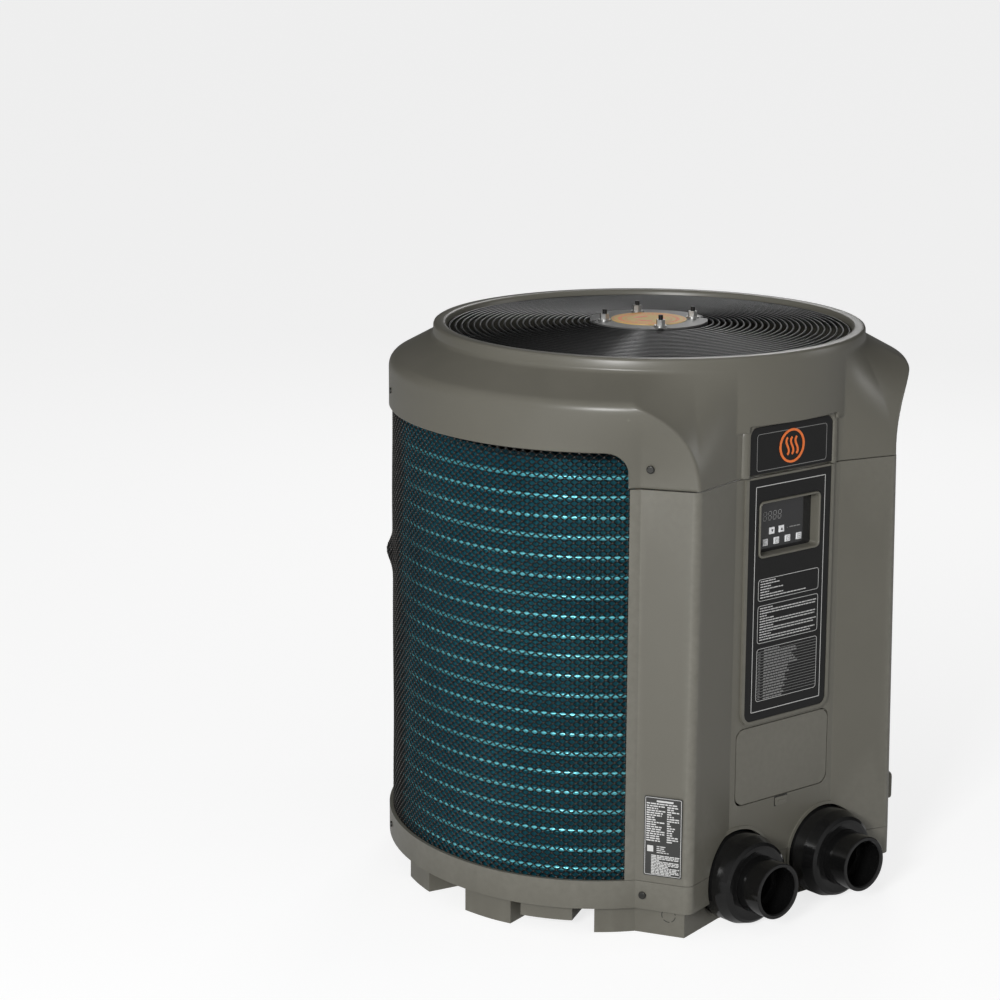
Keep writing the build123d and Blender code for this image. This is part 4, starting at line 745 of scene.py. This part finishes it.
# %% Fins
FIN_PITCH, FIN_T, FIN_IN, FIN_OUT = 1.8, 0.5, 37.0, 12.4
FIN_LOW, FIN_TOP, ROW_PITCH, FIRST_ROW, ROWS = 48.0, 614.8, 25.4, 60.7, 22
spots, ways = coil_line(0.0, FIN_PITCH)
spots, ways = spots[2:-2], ways[2:-2]
sides = np.stack((-ways[:, 1], ways[:, 0]), -1)
box_faces = np.array([[0, 1, 2, 3], [7, 6, 5, 4], [0, 4, 5, 1], [1, 5, 6, 2], [2, 6, 7, 3], [3, 7, 4, 0]])
ring = ((FIN_IN, -0.5), (FIN_IN, 0.5), (FIN_OUT, 0.5), (FIN_OUT, -0.5))
plan = np.stack([spots - ways * depth + sides * shift * FIN_T for depth, shift in ring], 1)
ends = [np.concatenate((plan, np.full((*plan.shape[:2], 1), z)), -1) for z in (FIN_LOW, FIN_TOP)]
strips = np.concatenate(ends, 1)
points, faces = copies(strips[0], box_faces, strips)
fins = make_piece("coil_fins", points, faces, fin_teal, smooth=False)
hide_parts("evaporator_fins")
print("fins", len(spots))

# %% [markdown]
# Every 25.4 mm a row of tubes passes through, and the collars pressed round the tubes stand
# out in front of the fins as level bands. A band is a half-round bead that runs the whole
# way round: one cross section carried along the coil's line. Its bright cyan colour is a
# painted highlight, a lit copy of the fins' coat.

# %% Bands
BAND_POINTS = ((3.0, -3.6), (-0.3, -3.4), (-0.8, -2.2), (-1.0, -1.6), (-2.0, -1.2), (-2.6, 0.0),
               (-2.2, 1.1), (-1.0, 1.7), (3.0, 1.9))


def band_along(line, ways, section, z):
    """A closed bead along a line: section gives (depth, height) from the line and z."""
    section = np.array(section)
    flat = line[:, None] - ways[:, None] * section[None, :, :1]
    height = np.broadcast_to(z + section[None, :, 1:], (*flat.shape[:2], 1))
    points = np.concatenate((flat, height), -1)
    points[0] = points[0].mean(0)
    points[-1] = points[-1].mean(0)
    rows, columns = points.shape[:2]
    flat = points.reshape(-1, 3)
    return flat, outwards(flat, grid_faces(rows, columns, around=True))


line, ways = coil_line(FIN_OUT, 6.0)
parts = [band_along(line[1:-1], ways[1:-1], BAND_POINTS, FIRST_ROW + ROW_PITCH * k) for k in range(ROWS)]
points, faces = joined(parts)
bands = make_piece("coil_bands", points, faces, fin_painted_highlight)
print("bands", ROWS, "band quads", len(faces))

# %% [markdown]
# Behind the fins a real coil is deep in shade. A second coil inside would show nothing but
# noise, so one thin dark sheet of painted shade closes the view there, in place of the
# shaded inner tube row. It is the same carried section as a band, tall and thin.

# %% Inner sheet of painted shade
line, ways = coil_line(FIN_IN - 6.0, 12.0)
line, ways = line[2:-2], ways[2:-2]
sheet_section = ((0.0, FIN_LOW + 1), (0.0, FIN_TOP - 1), (1.0, FIN_TOP - 1), (1.0, FIN_LOW + 1))
points, faces = band_along(line, ways, sheet_section, 0.0)
make_piece("coil_shade", points, faces, coil_painted_shade, smooth=False)
print("shade quads", len(faces))

# %% [markdown]
# ## The net
# The coil is guarded by extruded plastic netting with diamond holes 12 mm wide and 9 mm
# high. Two sets of strands cross at a lattice of knots, where extrusion has welded them into
# a small lump. A strand here is a square bar from one knot to the next, and a knot is a
# small cut gem. The net bulges a little at the left, where a lump sits under it.

# %% Lattice of the net
NET_IN, CELL_W, CELL_H, STRAND_R, KNOT_R = 6.9, 12.0, 9.0, 0.95, 1.35
LUMP_OUT, LUMP_PHI, LUMP_WIDE, LUMP_Z, LUMP_TALL = 9.0, -131, 5.5, 424, 17
NET_LOW, NET_TOP = 44.0, 639.0
line, line_ways = coil_line(NET_IN, CELL_W / 2)
line, line_ways = line[1:-1], line_ways[1:-1]
heights = np.arange(NET_LOW, NET_TOP, CELL_H / 2)


def bulge(x, y, z):
    """How far the net stands out at a point: a soft lump at the left and slight waves elsewhere."""
    phi = np.degrees(np.arctan2(x, -y))
    lump = LUMP_OUT * np.exp(-(((phi - LUMP_PHI) / LUMP_WIDE) ** 2))
    lump = lump * np.exp(-(((z - LUMP_Z) / LUMP_TALL) ** 2))
    return lump + 0.35 * np.sin(phi * 0.21 + z * 0.031) + 0.25 * np.sin(phi * 0.47 - z * 0.017)


def net_point(i, j):
    """The lattice point at step i along the coil and step j up it, with its outward direction."""
    x, y, z = line[i, 0], line[i, 1], heights[j]
    out = bulge(x, y, z)
    away = np.stack((line_ways[i, 0], line_ways[i, 1], np.zeros(len(i))), -1)
    return np.stack((x, y, z), -1) + away * out[:, None], away


print("lattice", len(line), "by", len(heights))

# %% [markdown]
# A strand runs from a knot to the next one up, to the right or to the left. The two hands
# are separate pieces, and each is split at the back, which keeps every piece light.

# %% Strands


def bars(start, end, away, radius):
    """Square bars, each from start to end, as one mesh."""
    along = end - start
    along /= np.linalg.norm(along, axis=1)[:, None]
    side = np.cross(along, away)
    ring = [side, away, -side, -away]
    moved = np.concatenate([np.stack([p + radius * way for way in ring], 1) for p in (start, end)], 1)
    return copies(moved[0], box_faces, moved)


i_all, j_all = np.meshgrid(np.arange(len(line)), np.arange(len(heights)), indexing="ij")
even = (i_all + j_all) % 2 == 0
for hand in (1, -1):
    fits = even & (j_all < len(heights) - 1) & (i_all + hand >= 0) & (i_all + hand < len(line))
    i, j = i_all[fits], j_all[fits]
    start, away = net_point(i, j)
    end, _ = net_point(i + hand, j + 1)
    halfway = len(line) // 2
    for word, chosen in (("left", i < halfway), ("right", i >= halfway)):
        points, faces = bars(start[chosen], end[chosen], away[chosen], STRAND_R)
        name = f"net_{word}_{'rising' if hand > 0 else 'falling'}"
        net = make_piece(name, points, faces, net_black, smooth=False)
        if name == "net_left_rising":
            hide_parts("coil_guard_net")
        print(name, "strands", int(chosen.sum()))

# %% [markdown]
# A knot is the weld where two strands cross. It is seen as a tiny glint, so eight corners
# are enough: a square waist and a smaller square at its outer face. Its pale brown colour is
# a painted glint.

# %% Knots
centre, away = net_point(i_all[even], j_all[even])
up = np.broadcast_to(np.array([0.0, 0.0, 1.0]), centre.shape)
side = np.cross(up, away)
gem = [(0, 1, 0), (1, 0, 0), (0, -1, 0), (-1, 0, 0),
       (0, 0.5, 1.0), (0.5, 0, 1.0), (0, -0.5, 1.0), (-0.5, 0, 1.0)]
moved = np.stack([centre + KNOT_R * (a * side * 1.3 + b * up + c * away * 0.9) for a, b, c in gem], 1)
points, faces = copies(moved[0], box_faces, moved)
make_piece("net_knots", points, faces, knot_painted_glint, smooth=True)
print("knots", len(centre))

# %% [markdown]
# ## The hood round the badge
# A raised frame stands out of the cover round the badge. Its outer side is a soft radius,
# which shows as a bright line at the upper corner, and its inner side is a small step down
# to the film. It could be cut from the cover, but a moulding laid on it keeps its edges
# even: one cross section is carried along an arch and closed at both feet.

# %% Badge hood
HOOD_HALF, HOOD_TOP, HOOD_R = 75.6, 647.4, 14.0
HOOD_SECTION = ((-2.8, -262.0), (-2.8, -269.6), (-2.2, -270.8), (-1.0, -271.6), (1.0, -271.8),
                (3.5, -271.3), (6.2, -270.0), (8.4, -268.2), (9.6, -266.0), (10.0, -262.0))


def arch(half, foot, top, r, steps=14):
    """Points of an upright arch and their outward directions: up the left, over, and down the right."""
    turn = np.linspace(0, math.pi / 2, steps)
    left = [(-half, z, -1.0, 0.0) for z in np.linspace(foot, top - r, 12)[:-1]]
    corner = [(-half + r - r * math.cos(a), top - r + r * math.sin(a), -math.cos(a), math.sin(a))
              for a in turn]
    over = [(x, top, 0.0, 1.0) for x in np.linspace(-half + r, 0, 10)[1:]]
    side = np.array(left + corner + over)
    other = side[-2::-1] * np.array([-1.0, 1.0, -1.0, 1.0])
    path = np.concatenate((side, other))
    return path[:, :2], path[:, 2:]


def framed(path, ways, section):
    """A moulding along a path in the front's plane: section gives (offset outwards, y)."""
    section = np.array(section)
    flat = path[:, None] + ways[:, None] * section[None, :, :1]
    depth = np.broadcast_to(section[None, :, 1:], (*flat.shape[:2], 1))
    points = np.concatenate((flat[..., :1], depth, flat[..., 1:]), -1)
    first, last = (np.broadcast_to(points[k].mean(0), points[k].shape)[None] for k in (0, -1))
    points = np.concatenate((first, points, last))
    rows, columns = points.shape[:2]
    flat = points.reshape(-1, 3)
    return flat, outwards(flat, grid_faces(rows, columns, around=True))


points, faces = framed(*arch(HOOD_HALF, SEAM_Z + 0.6, HOOD_TOP, HOOD_R), HOOD_SECTION)
make_piece("badge_hood", points, faces, casing_grey)
print("hood quads", len(faces))

# %% [markdown]
# ## The fan guard
# A welded guard is level rings of round wire on a few spokes, dished a little towards the
# middle. Each ring is a torus and each spoke a round bar under the rings. Curves with a
# bevel would do too, but a torus is only two angles. Round wire shows a thin bright line
# along its top, which is why the rings read as fine arcs.

# %% Guard
RING_COUNT, RING_STEP, RING_TOP_R, WIRE_R, GUARD_Z = 24, 8.1, 263.0, 1.5, 729.0
DISH, DISH_RUN = 7.0, 185.5
SPOKES, SPOKE_DROP, SPOKE_R, SPOKE_FROM, SPOKE_TO = 8, 2.3, 1.6, 64, 265.5


def dish_z(r):
    """Height of the guard at a radius: it rises evenly towards the middle."""
    return GUARD_Z + DISH * (RING_TOP_R - r) / DISH_RUN


def torus(radius, z, wire, around=192, section=8):
    """A level ring of round wire."""
    a = np.linspace(0, 2 * math.pi, around, endpoint=False)[:, None]
    b = np.linspace(0, 2 * math.pi, section, endpoint=False)[None]
    r = radius + wire * np.cos(b)
    points = np.stack((r * np.sin(a), -r * np.cos(a), z + wire * np.sin(b) + 0 * a), -1).reshape(-1, 3)
    return points, outwards(points, grid_faces(around, section, around=True, along=True))


def swept(path, wire, section=8):
    """A round bar along a path of points, closed at both ends."""
    path = np.array(path, float)
    along = np.gradient(path, axis=0)
    along /= np.linalg.norm(along, axis=1)[:, None]
    side = np.cross(along, np.array([0.0, 0.0, 1.0]))
    side /= np.linalg.norm(side, axis=1)[:, None]
    up = np.cross(side, along)
    a = np.linspace(0, 2 * math.pi, section, endpoint=False)[None, :, None]
    body = path[:, None] + wire * (np.cos(a) * side[:, None] + np.sin(a) * up[:, None])
    first, last = (np.repeat(path[k][None, None], section, 1) for k in (0, -1))
    points = np.concatenate((first, body, last)).reshape(-1, 3)
    return points, outwards(points, grid_faces(len(path) + 2, section, around=True))


rings = [torus(r, dish_z(r), WIRE_R) for r in RING_TOP_R - RING_STEP * np.arange(RING_COUNT)]
for k in range(SPOKES):
    a = 2 * math.pi * (k + 0.5) / SPOKES
    reach = np.linspace(SPOKE_FROM, SPOKE_TO, 6)
    spoke = [(r * math.sin(a), -r * math.cos(a), dish_z(r) - SPOKE_DROP) for r in reach]
    rings.append(swept(spoke, SPOKE_R))
points, faces = joined(rings)
guard = make_piece("guard_wires", points, faces, wire_black)
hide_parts("fan_guard")
print("guard quads", len(faces))

# %% [markdown]
# ## Printing on the front
# The overlay film is screen printed: thin pale outlines, and lines of instructions that are
# stood for by plain rules. Ink is a layer some hundredths of a millimetre thick. Here each
# stroke is a low flat bar just proud of the film, so that it has a real edge and casts no
# shadow. A rounded outline is a ring of the same height.

# %% Print helpers
INK, WORD_GAP = 0.10, 0.9


def rounded_loop(x0, x1, z0, z1, r, steps=8):
    """Corner arcs of a rounded rectangle, in order round it."""
    turn = np.linspace(0, math.pi / 2, steps)
    loop = []
    for k, (cx, cz) in enumerate(((x1 - r, z1 - r), (x0 + r, z1 - r), (x0 + r, z0 + r), (x1 - r, z0 + r))):
        a = turn + k * math.pi / 2
        loop.append(np.stack((cx + r * np.cos(a), cz + r * np.sin(a)), -1))
    return np.concatenate(loop)


def looped(section):
    """A closed moulding from (loop, y) pairs: each loop of (x, z) points stands at its own y."""
    rings = [np.stack((loop[:, 0], np.full(len(loop), y), loop[:, 1]), -1) for loop, y in section]
    points = np.stack(rings, 1).reshape(-1, 3)
    return points, outwards(points, grid_faces(len(section[0][0]), len(section), around=True, along=True))


def outline_ring(x0, x1, z0, z1, r, width, y):
    """A rounded outline of a given width, proud of the plane y towards the front."""
    outer = rounded_loop(x0, x1, z0, z1, r)
    inner = rounded_loop(x0 + width, x1 - width, z0 + width, z1 - width, max(r - width, 0.05))
    return looped([(outer, y), (outer, y - INK), (inner, y - INK), (inner, y)])


def bar(x0, x1, z0, z1, y):
    """A flat bar of ink."""
    ring = ((x0, z0), (x1, z0), (x1, z1), (x0, z1))
    points = np.array([(x, y - depth, z) for depth in (0, INK) for x, z in ring])
    return points, outwards(points, box_faces)


def word_rules(x0, x1, top, step, tall, lengths, y, seed):
    """Rules that stand for lines of print, broken into words of uneven length.

    lengths has the share of the width that each line fills, from the top down.
    """
    pick = np.random.default_rng(seed)
    parts = []
    for k, share in enumerate(lengths):
        x, end = x0, x0 + (x1 - x0) * share
        while x < end - 1:
            word = min(float(pick.uniform(2.0, 7.0)), end - x)
            parts.append(bar(x, x + word, top - k * step - tall, top - k * step, y))
            x += word + WORD_GAP
    return parts


# %% [markdown]
# The long label carries one tall outline, and below the control window three framed panels:
# a key to the buttons, operating steps, and a ruled table. The badge above it has an
# outline of its own.

# %% Outlines on the front
FILM_Y, BADGE_Y = low("control_label")[1], low("badge_plate")[1]
PANELS = ((419.0, 447.5), (363.5, 413.0), (287.0, 356.5))
parts = [outline_ring(-61.0, 62.5, 273.5, 568.5, 1.5, 0.9, FILM_Y)]
for z0, z1 in PANELS:
    parts.append(outline_ring(-53.0, 55.0, z0, z1, 4.0, 0.6, FILM_Y))
points, faces = joined(parts)
make_piece("label_outlines", points, faces, ink_white, smooth=False)
points, faces = outline_ring(-61.0, 62.5, 588.0, 635.5, 4.0, 0.7, BADGE_Y)
make_piece("badge_outline", points, faces, ink_grey, smooth=False)
print("outlines", 1 + len(PANELS), "and the badge's")

# %% [markdown]
# The lines of print say nothing here: each is a row of short rules of uneven length, which
# is how print looks from a few steps away. The share of each line's width that is filled
# follows how such a page is set, with short headings over full lines.

# %% Rules on the front
KEY_LINES = (0.26, 0.33, 0.18, 0.40, 0.15, 0.40, 0.80)
STEP_LINES = (0.22, 1.0, 0.98, 0.12, 0.25, 1.0, 0.97, 0.25, 1.0, 0.95, 0.2, 0.98, 0.9)
parts = word_rules(-49.0, 52.0, 445.0, 3.5, 1.3, KEY_LINES, FILM_Y, 3)
parts += word_rules(-49.0, 52.0, 410.0, 3.45, 1.3, STEP_LINES, FILM_Y, 5)
points, faces = joined(parts)
make_piece("label_rules", points, faces, ink_white, smooth=False)
print("rules", len(parts))

# %% [markdown]
# The lowest panel is a table. Thin level lines part its rows, and each row has a short mark
# in front and a line of words behind it.

# %% Table on the front
TABLE_LINES = (0.30, 0.62, 0.66, 0.55, 0.60, 0.62, 0.66, 0.48, 0.46, 0.50, 0.44, 0.42, 0.46, 0.40, 0.42, 0.36,
               0.40, 0.38)
TABLE_TOP, TABLE_STEP, TABLE_TALL = 354.0, 3.75, 1.7
parts = word_rules(-40.0, 51.0, TABLE_TOP, TABLE_STEP, TABLE_TALL, TABLE_LINES, FILM_Y, 7)
for k in range(1, len(TABLE_LINES)):
    down = TABLE_STEP * k
    parts.append(bar(-52.0, 54.0, 355.6 - down, 356.1 - down, FILM_Y))
    parts.append(bar(-50.0, -46.0, TABLE_TOP - down, 355.0 - down - TABLE_TALL, FILM_Y))
points, faces = joined(parts)
make_piece("label_table", points, faces, ink_grey, smooth=False)
print("table quads", len(faces))

# %% [markdown]
# ## Controls
# The controls sit in a small recess with a raised lip and a dark glossy face. The lip is
# one closed moulding: a cross section of ten points carried round a rounded rectangle. A
# bevel on a box could make it, but its radii would not stay apart as they do here.

# %% Window frame and face
FACE_Y = low("key_mode")[1] + 1.6
WINDOW = (-54.2, 54.2, 474.8, 548.2)


def loop_frame(x0, x1, z0, z1, r, section):
    """A closed moulding round a rounded rectangle: section gives (offset inwards, y)."""
    return looped([(rounded_loop(x0 + d, x1 - d, z0 + d, z1 - d, max(r - d, 0.4)), y) for d, y in section])


LIP_SECTION = ((0.0, FILM_Y + 0.6), (0.0, -270.6), (0.5, -271.3), (1.3, -271.6), (2.1, -271.4),
               (2.7, -270.6), (3.0, -269.0), (3.4, FACE_Y), (3.4, FACE_Y + 2), (0.0, FACE_Y + 2))
points, faces = loop_frame(*WINDOW, 7.5, LIP_SECTION)
lip = make_piece("window_frame", points, faces, casing_grey)
points, faces = bar(-53.0, 53.0, 476.0, 547.0, FACE_Y + INK)
make_piece("window_face", points, faces, glass_black, smooth=False)
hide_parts("control_housing")
print("window face at", round(float(FACE_Y), 2))

# %% [markdown]
# Behind the face is a four-figure display. Switched off, it shows its unlit segments as
# faint grey bars: seven strokes between the six corners of a leaning figure, cut short at
# both ends so that they don't touch. A lamp and its rule stand beside the keys.

# %% Display
DIGITS, DIGIT_X, DIGIT_STEP, DIGIT_Z = 4, -34.0, 8.6, 518.5
DIGIT_WIDE, DIGIT_TALL, DIGIT_LEAN, DIGIT_STROKE, DIGIT_GAP = 5.2, 11.0, 0.5, 0.9, 0.14
SEGMENTS = (((0, 0), (1, 0)), ((0, 1), (1, 1)), ((0, 2), (1, 2)), ((0, 0), (0, 1)), ((1, 0), (1, 1)),
            ((0, 1), (0, 2)), ((1, 1), (1, 2)))


def stroke(x0, z0, x1, z1, width, y):
    """A flat stroke of ink between two points."""
    way = np.array([x1 - x0, z1 - z0], float)
    across = np.array([-way[1], way[0]]) / np.linalg.norm(way) * width / 2
    start, end = np.array([x0, z0]), np.array([x1, z1])
    ends = [start - across, end - across, end + across, start + across]
    points = np.array([(e[0], y - depth, e[1]) for depth in (0, INK) for e in ends])
    return points, outwards(points, box_faces)


parts = []
for k in range(DIGITS):
    x = DIGIT_X + DIGIT_STEP * k
    corners = {(c, r): (x + c * DIGIT_WIDE + DIGIT_LEAN * r, DIGIT_Z + r * DIGIT_TALL / 2)
               for c in (0, 1) for r in (0, 1, 2)}
    for a, b in SEGMENTS:
        (ax, az), (bx, bz) = corners[a], corners[b]
        dx, dz = (bx - ax) * DIGIT_GAP, (bz - az) * DIGIT_GAP
        parts.append(stroke(ax + dx, az + dz, bx - dx, bz - dz, DIGIT_STROKE, FACE_Y))
points, faces = joined(parts)
make_piece("display_digits", points, faces, ink_grey, smooth=False)
parts = [bar(9.0, 10.0, 503.5, 504.5, FACE_Y)]
parts += word_rules(13.0, 32.0, 505.2, 3, 1.4, (1.0,), FACE_Y, 4)
points, faces = joined(parts)
make_piece("lamp_mark", points, faces, ink_grey, smooth=False)
print("segments", DIGITS * len(SEGMENTS))

# %% [markdown]
# ## Signs on the keys
# The two upper keys carry arrows. The lower four carry a rounded outline with a plain mark
# in it. A sign is printed on its key and has to move with it, so it rides on the key's own
# body. It is placed from the key's box, so it stays in the middle of the key.

# %% Signs on the keys
ARROW, SIGN_HALF, SIGN_R, SIGN_STROKE = 2.0, 2.9, 1.2, 0.5
KEY_MARKS = {
    "key_power": ((0, 0.2, 0, 2.0), (-1.3, -1.2, 1.3, -1.2)),
    "key_mode": ((-1.4, 1.0, 1.4, 1.0), (-1.4, -0.8, 1.4, -0.8)),
    "key_timer": ((0, 0, 0, 1.8), (0, 0, 1.3, 0)),
    "key_set": ((-1.6, 0, 1.6, 0), (0, -1.6, 0, 1.6)),
}


def arrow(x, z, up, size, y):
    """A filled triangle that points up or down, as a flat prism."""
    corners = np.array([(-1, -0.8), (1, -0.8), (0, 1.0), (0, 1.0)]) * size
    if not up:
        corners = corners * np.array([1, -1])
    points = np.array([(x + a, y - depth, z + b) for depth in (0, INK) for a, b in corners])
    return points, outwards(points, box_faces)


for key in ("key_down", "key_up", *KEY_MARKS):
    x, z = ((low(key) + high(key)) / 2)[[0, 2]]
    y = low(key)[1]
    if key in KEY_MARKS:
        sign_box = (x - SIGN_HALF, x + SIGN_HALF, z - SIGN_HALF, z + SIGN_HALF)
        parts = [outline_ring(*sign_box, SIGN_R, SIGN_STROKE, y)]
        parts += [stroke(x + a, z + b, x + c, z + d, SIGN_STROKE, y) for a, b, c, d in KEY_MARKS[key]]
        ink = ink_grey
    else:
        parts = [arrow(x, z, key == "key_up", ARROW, y)]
        ink = film_black
    points, faces = joined(parts)
    make_piece("sign_" + key[4:], points, faces, ink, body=key, smooth=False)
print("signs on", 2 + len(KEY_MARKS), "keys")

# %% [markdown]
# ## The data plate
# The plate on the left flank is a dark foil with pale print: a heading, two columns of
# entries, and a block below. All of it is stood for by rules. The plate lies on a plane, so
# its print is laid out in two directions of that plane and lifted off it by the ink. The
# plane is found from the plate itself: the mean normal of its outer faces, by area.

# %% Plane of the data plate
plate_mesh = nodes["rating_label"].data
corner_points = np.empty(len(plate_mesh.vertices) * 3)
plate_mesh.vertices.foreach_get("co", corner_points)
corner_points = corner_points.reshape(-1, 3) / MM
centre = (corner_points.min(0) + corner_points.max(0)) / 2
normals, areas = np.empty(len(plate_mesh.polygons) * 3), np.empty(len(plate_mesh.polygons))
plate_mesh.polygons.foreach_get("normal", normals)
plate_mesh.polygons.foreach_get("area", areas)
normals = normals.reshape(-1, 3)
outer = (normals[:, 0] < 0) & (normals[:, 1] < 0)
away = (normals[outer] * areas[outer][:, None]).sum(0)
away /= np.linalg.norm(away)
across = np.cross(np.array([0.0, 0.0, 1.0]), away)
across /= np.linalg.norm(across)
upwards = np.cross(away, across)
face_out = ((corner_points - centre) @ away).max()


def on_plate(points):
    """Points laid out as (across, -depth, up) moved onto the data plate."""
    return centre + points[:, :1] * across + (face_out - points[:, 1:2]) * away + points[:, 2:] * upwards


print("data plate faces", away.round(3))

# %% [markdown]
# The print is drawn flat first, with y as the depth, and moved onto the plate at the end.
# The small square stands for the printed code at the plate's lower left.

# %% Data plate print
NAMES = (0.95, 0.6, 0.98, 0.85, 0.8, 0.45, 0.5, 0.95, 0.5, 0.8, 0.78, 0.96, 0.95, 0.68, 0.72, 0.72)
VALUES = (0.9, 0.5, 0.9, 0.4, 0.5, 0.9, 0.9, 0.2, 0.3, 0.6, 0.5, 0.4, 0.4, 0.85, 0.85, 0.4)
NOTES = (1.0, 0.97, 0.98, 0.3, 1.0, 0.98, 1.0, 0.6, 1.0, 0.95, 0.97, 0.99, 0.7)
ENTRY_TOP, ENTRY_STEP, ENTRY_TALL = 40.8, 3.05, 1.6
parts = [outline_ring(-23.8, 23.8, -51.2, 51.2, 2.0, 0.6, 0.0), bar(-9, 13, 45.6, 48.0, 0.0)]
parts += word_rules(-22, 20, 44.0, ENTRY_STEP, ENTRY_TALL, (0.95,), 0.0, 1)
parts += word_rules(-22, 3, ENTRY_TOP, ENTRY_STEP, ENTRY_TALL, NAMES, 0.0, 2)
parts += word_rules(5, 22.5, ENTRY_TOP, ENTRY_STEP, ENTRY_TALL, VALUES, 0.0, 6)
parts += word_rules(-8, 8, -12.5, 2.6, 1.1, (0.8, 0.6, 0.7, 1.0), 0.0, 8)
parts += [bar(-20.5, -12.5, -20.5, -12.5, 0.0)]
parts += word_rules(-15, 22, -24.5, 2.0, 1.3, NOTES, 0.0, 9)
points, faces = joined(parts)
points = on_plate(points)
make_piece("data_plate_print", points, outwards(points, faces), ink_white, smooth=False)
print("data plate print quads", len(faces))

# %% [markdown]
# ## Small marks of the moulding
# The front foot carries a knockout for a drain: a broken ring pressed into the wall. It
# could be cut into the pan, but at this size a thin dark ring of painted shade laid on the
# wall reads the same. It is placed by asking the CAD surface where it is, with a ray. The
# latch sits in a shallow notch, whose shade is painted and placed from the latch's own box.

# %% Knockout
FOOT_FACING = np.array([-0.877, -0.480, 0.0])
KNOCKOUT_AIM, AIM_BACK = np.array([-198.0, -264.0, 27.5]), 80
KNOCKOUT_R, KNOCKOUT_WIDE, KNOCKOUT_ARCS = 9.6, 1.1, 5


def surface_spot(node, start, towards):
    """Where a ray from start (millimetres) first meets a CAD node: point, outward direction."""
    origin, direction = np.array(start) * MM, np.array(towards, float)
    direction /= np.linalg.norm(direction)
    hit, place, normal, _ = nodes[node].ray_cast(origin.tolist(), direction.tolist())
    return (np.array(place) / MM, np.array(normal)) if hit else (None, None)


def laid_ring(centre, away, radius, width, gaps, depth=0.12):
    """Arcs of a ring laid on a surface: gaps is how many breaks it has."""
    side = np.cross(np.array([0.0, 0.0, 1.0]), away)
    side /= np.linalg.norm(side)
    up = np.cross(away, side)
    parts = []
    for k in range(gaps):
        a = np.linspace(0.12, 0.88, 9) * 2 * math.pi / gaps + k * 2 * math.pi / gaps
        loops = []
        for r, lift in ((radius, 0.0), (radius, depth), (radius - width, depth), (radius - width, 0.0)):
            loops.append(centre + r * (np.cos(a)[:, None] * side + np.sin(a)[:, None] * up) + lift * away)
        points = np.stack(loops, 1)
        first, last = (np.broadcast_to(points[n].mean(0), points[n].shape)[None] for n in (0, -1))
        points = np.concatenate((first, points, last))
        flat = points.reshape(-1, 3)
        parts.append((flat, outwards(flat, grid_faces(len(a) + 2, 4, around=True))))
    return joined(parts)


spot, normal = surface_spot("base_pan", KNOCKOUT_AIM + FOOT_FACING * AIM_BACK, -FOOT_FACING)
if spot is not None:
    points, faces = laid_ring(spot, normal, KNOCKOUT_R, KNOCKOUT_WIDE, KNOCKOUT_ARCS)
    make_piece("knockout_shade_ring", points, faces, dark_plastic_and_painted_shade, smooth=False)
    print("knockout at", spot.round(1))

# %% [markdown]
# The notch round the latch is painted shade: one thin dark bar half sunk in the front face,
# a little wider than the latch on both sides.

# %% Latch notch, painted shade
NOTCH_SIDE, NOTCH_LOW, NOTCH_TOP = 1.2, 137.6, 151.2
slot_low, slot_high = low("service_latch"), high("service_latch")
left, right = slot_low[0] - NOTCH_SIDE, slot_high[0] + NOTCH_SIDE
points, faces = bar(left, right, NOTCH_LOW, NOTCH_TOP, -FRONT_DEPTH + INK / 2)
make_piece("latch_notch_shade", points, faces, dark_plastic_and_painted_shade, smooth=False)
print("notch is", round(float(np.ptp(points[:, 0])), 1), "wide")

# %% [markdown]
# ## The label on the hub
# The round label has two printed rings with a band of short marks between them, which stand
# for words set in a circle, and three arcs in the middle. Each mark is a flat arc: a span of
# angles between two radii, as thick as the ink. Ink painted by a texture would be lighter,
# but a real layer keeps its edge at any distance.

# %% Hub label print
HUB_TOP = high("hub_label")[2]
CIRCLE_RADII, CIRCLE_WIDE, CIRCLE_ARCS = (46.5, 30.0), 1.0, 16
WORD_RADII, MARK_GAP, CENTRE_RADII, CENTRE_ARCS = (36.0, 41.0), 0.045, (14.0, 22.0), 3


def flat_arc(r0, r1, a0, a1, z, steps=6):
    """A flat piece of a ring on a level face."""
    a = np.linspace(a0, a1, steps)[:, None]
    r = np.array([r0, r1, r1, r0])[None]
    height = np.broadcast_to(np.array([z, z, z + INK, z + INK])[None], (steps, 4))
    points = np.stack((r * np.sin(a), -r * np.cos(a), height), -1)
    first, last = (np.broadcast_to(points[n].mean(0), points[n].shape)[None] for n in (0, -1))
    points = np.concatenate((first, points, last))
    flat = points.reshape(-1, 3)
    return flat, outwards(flat, grid_faces(steps + 2, 4, around=True))


parts = []
for r in CIRCLE_RADII:
    for k in range(CIRCLE_ARCS):
        start, end = k * math.pi / (CIRCLE_ARCS / 2), (k + 1) * math.pi / (CIRCLE_ARCS / 2)
        parts.append(flat_arc(r, r + CIRCLE_WIDE, start, end, HUB_TOP))
pick = np.random.default_rng(11)
angle = 0.0
while angle < 2 * math.pi - 0.12:
    step = float(pick.uniform(0.05, 0.13))
    parts.append(flat_arc(*WORD_RADII, angle, angle + step, HUB_TOP, 3))
    angle += step + MARK_GAP
for k in range(CENTRE_ARCS):
    a = k * 2 * math.pi / CENTRE_ARCS + 0.4
    parts.append(flat_arc(*CENTRE_RADII, a, a + 1.2, HUB_TOP))
points, faces = joined(parts)
make_piece("hub_label_print", points, faces, ink_orange, smooth=False)
print("hub print quads", len(faces))
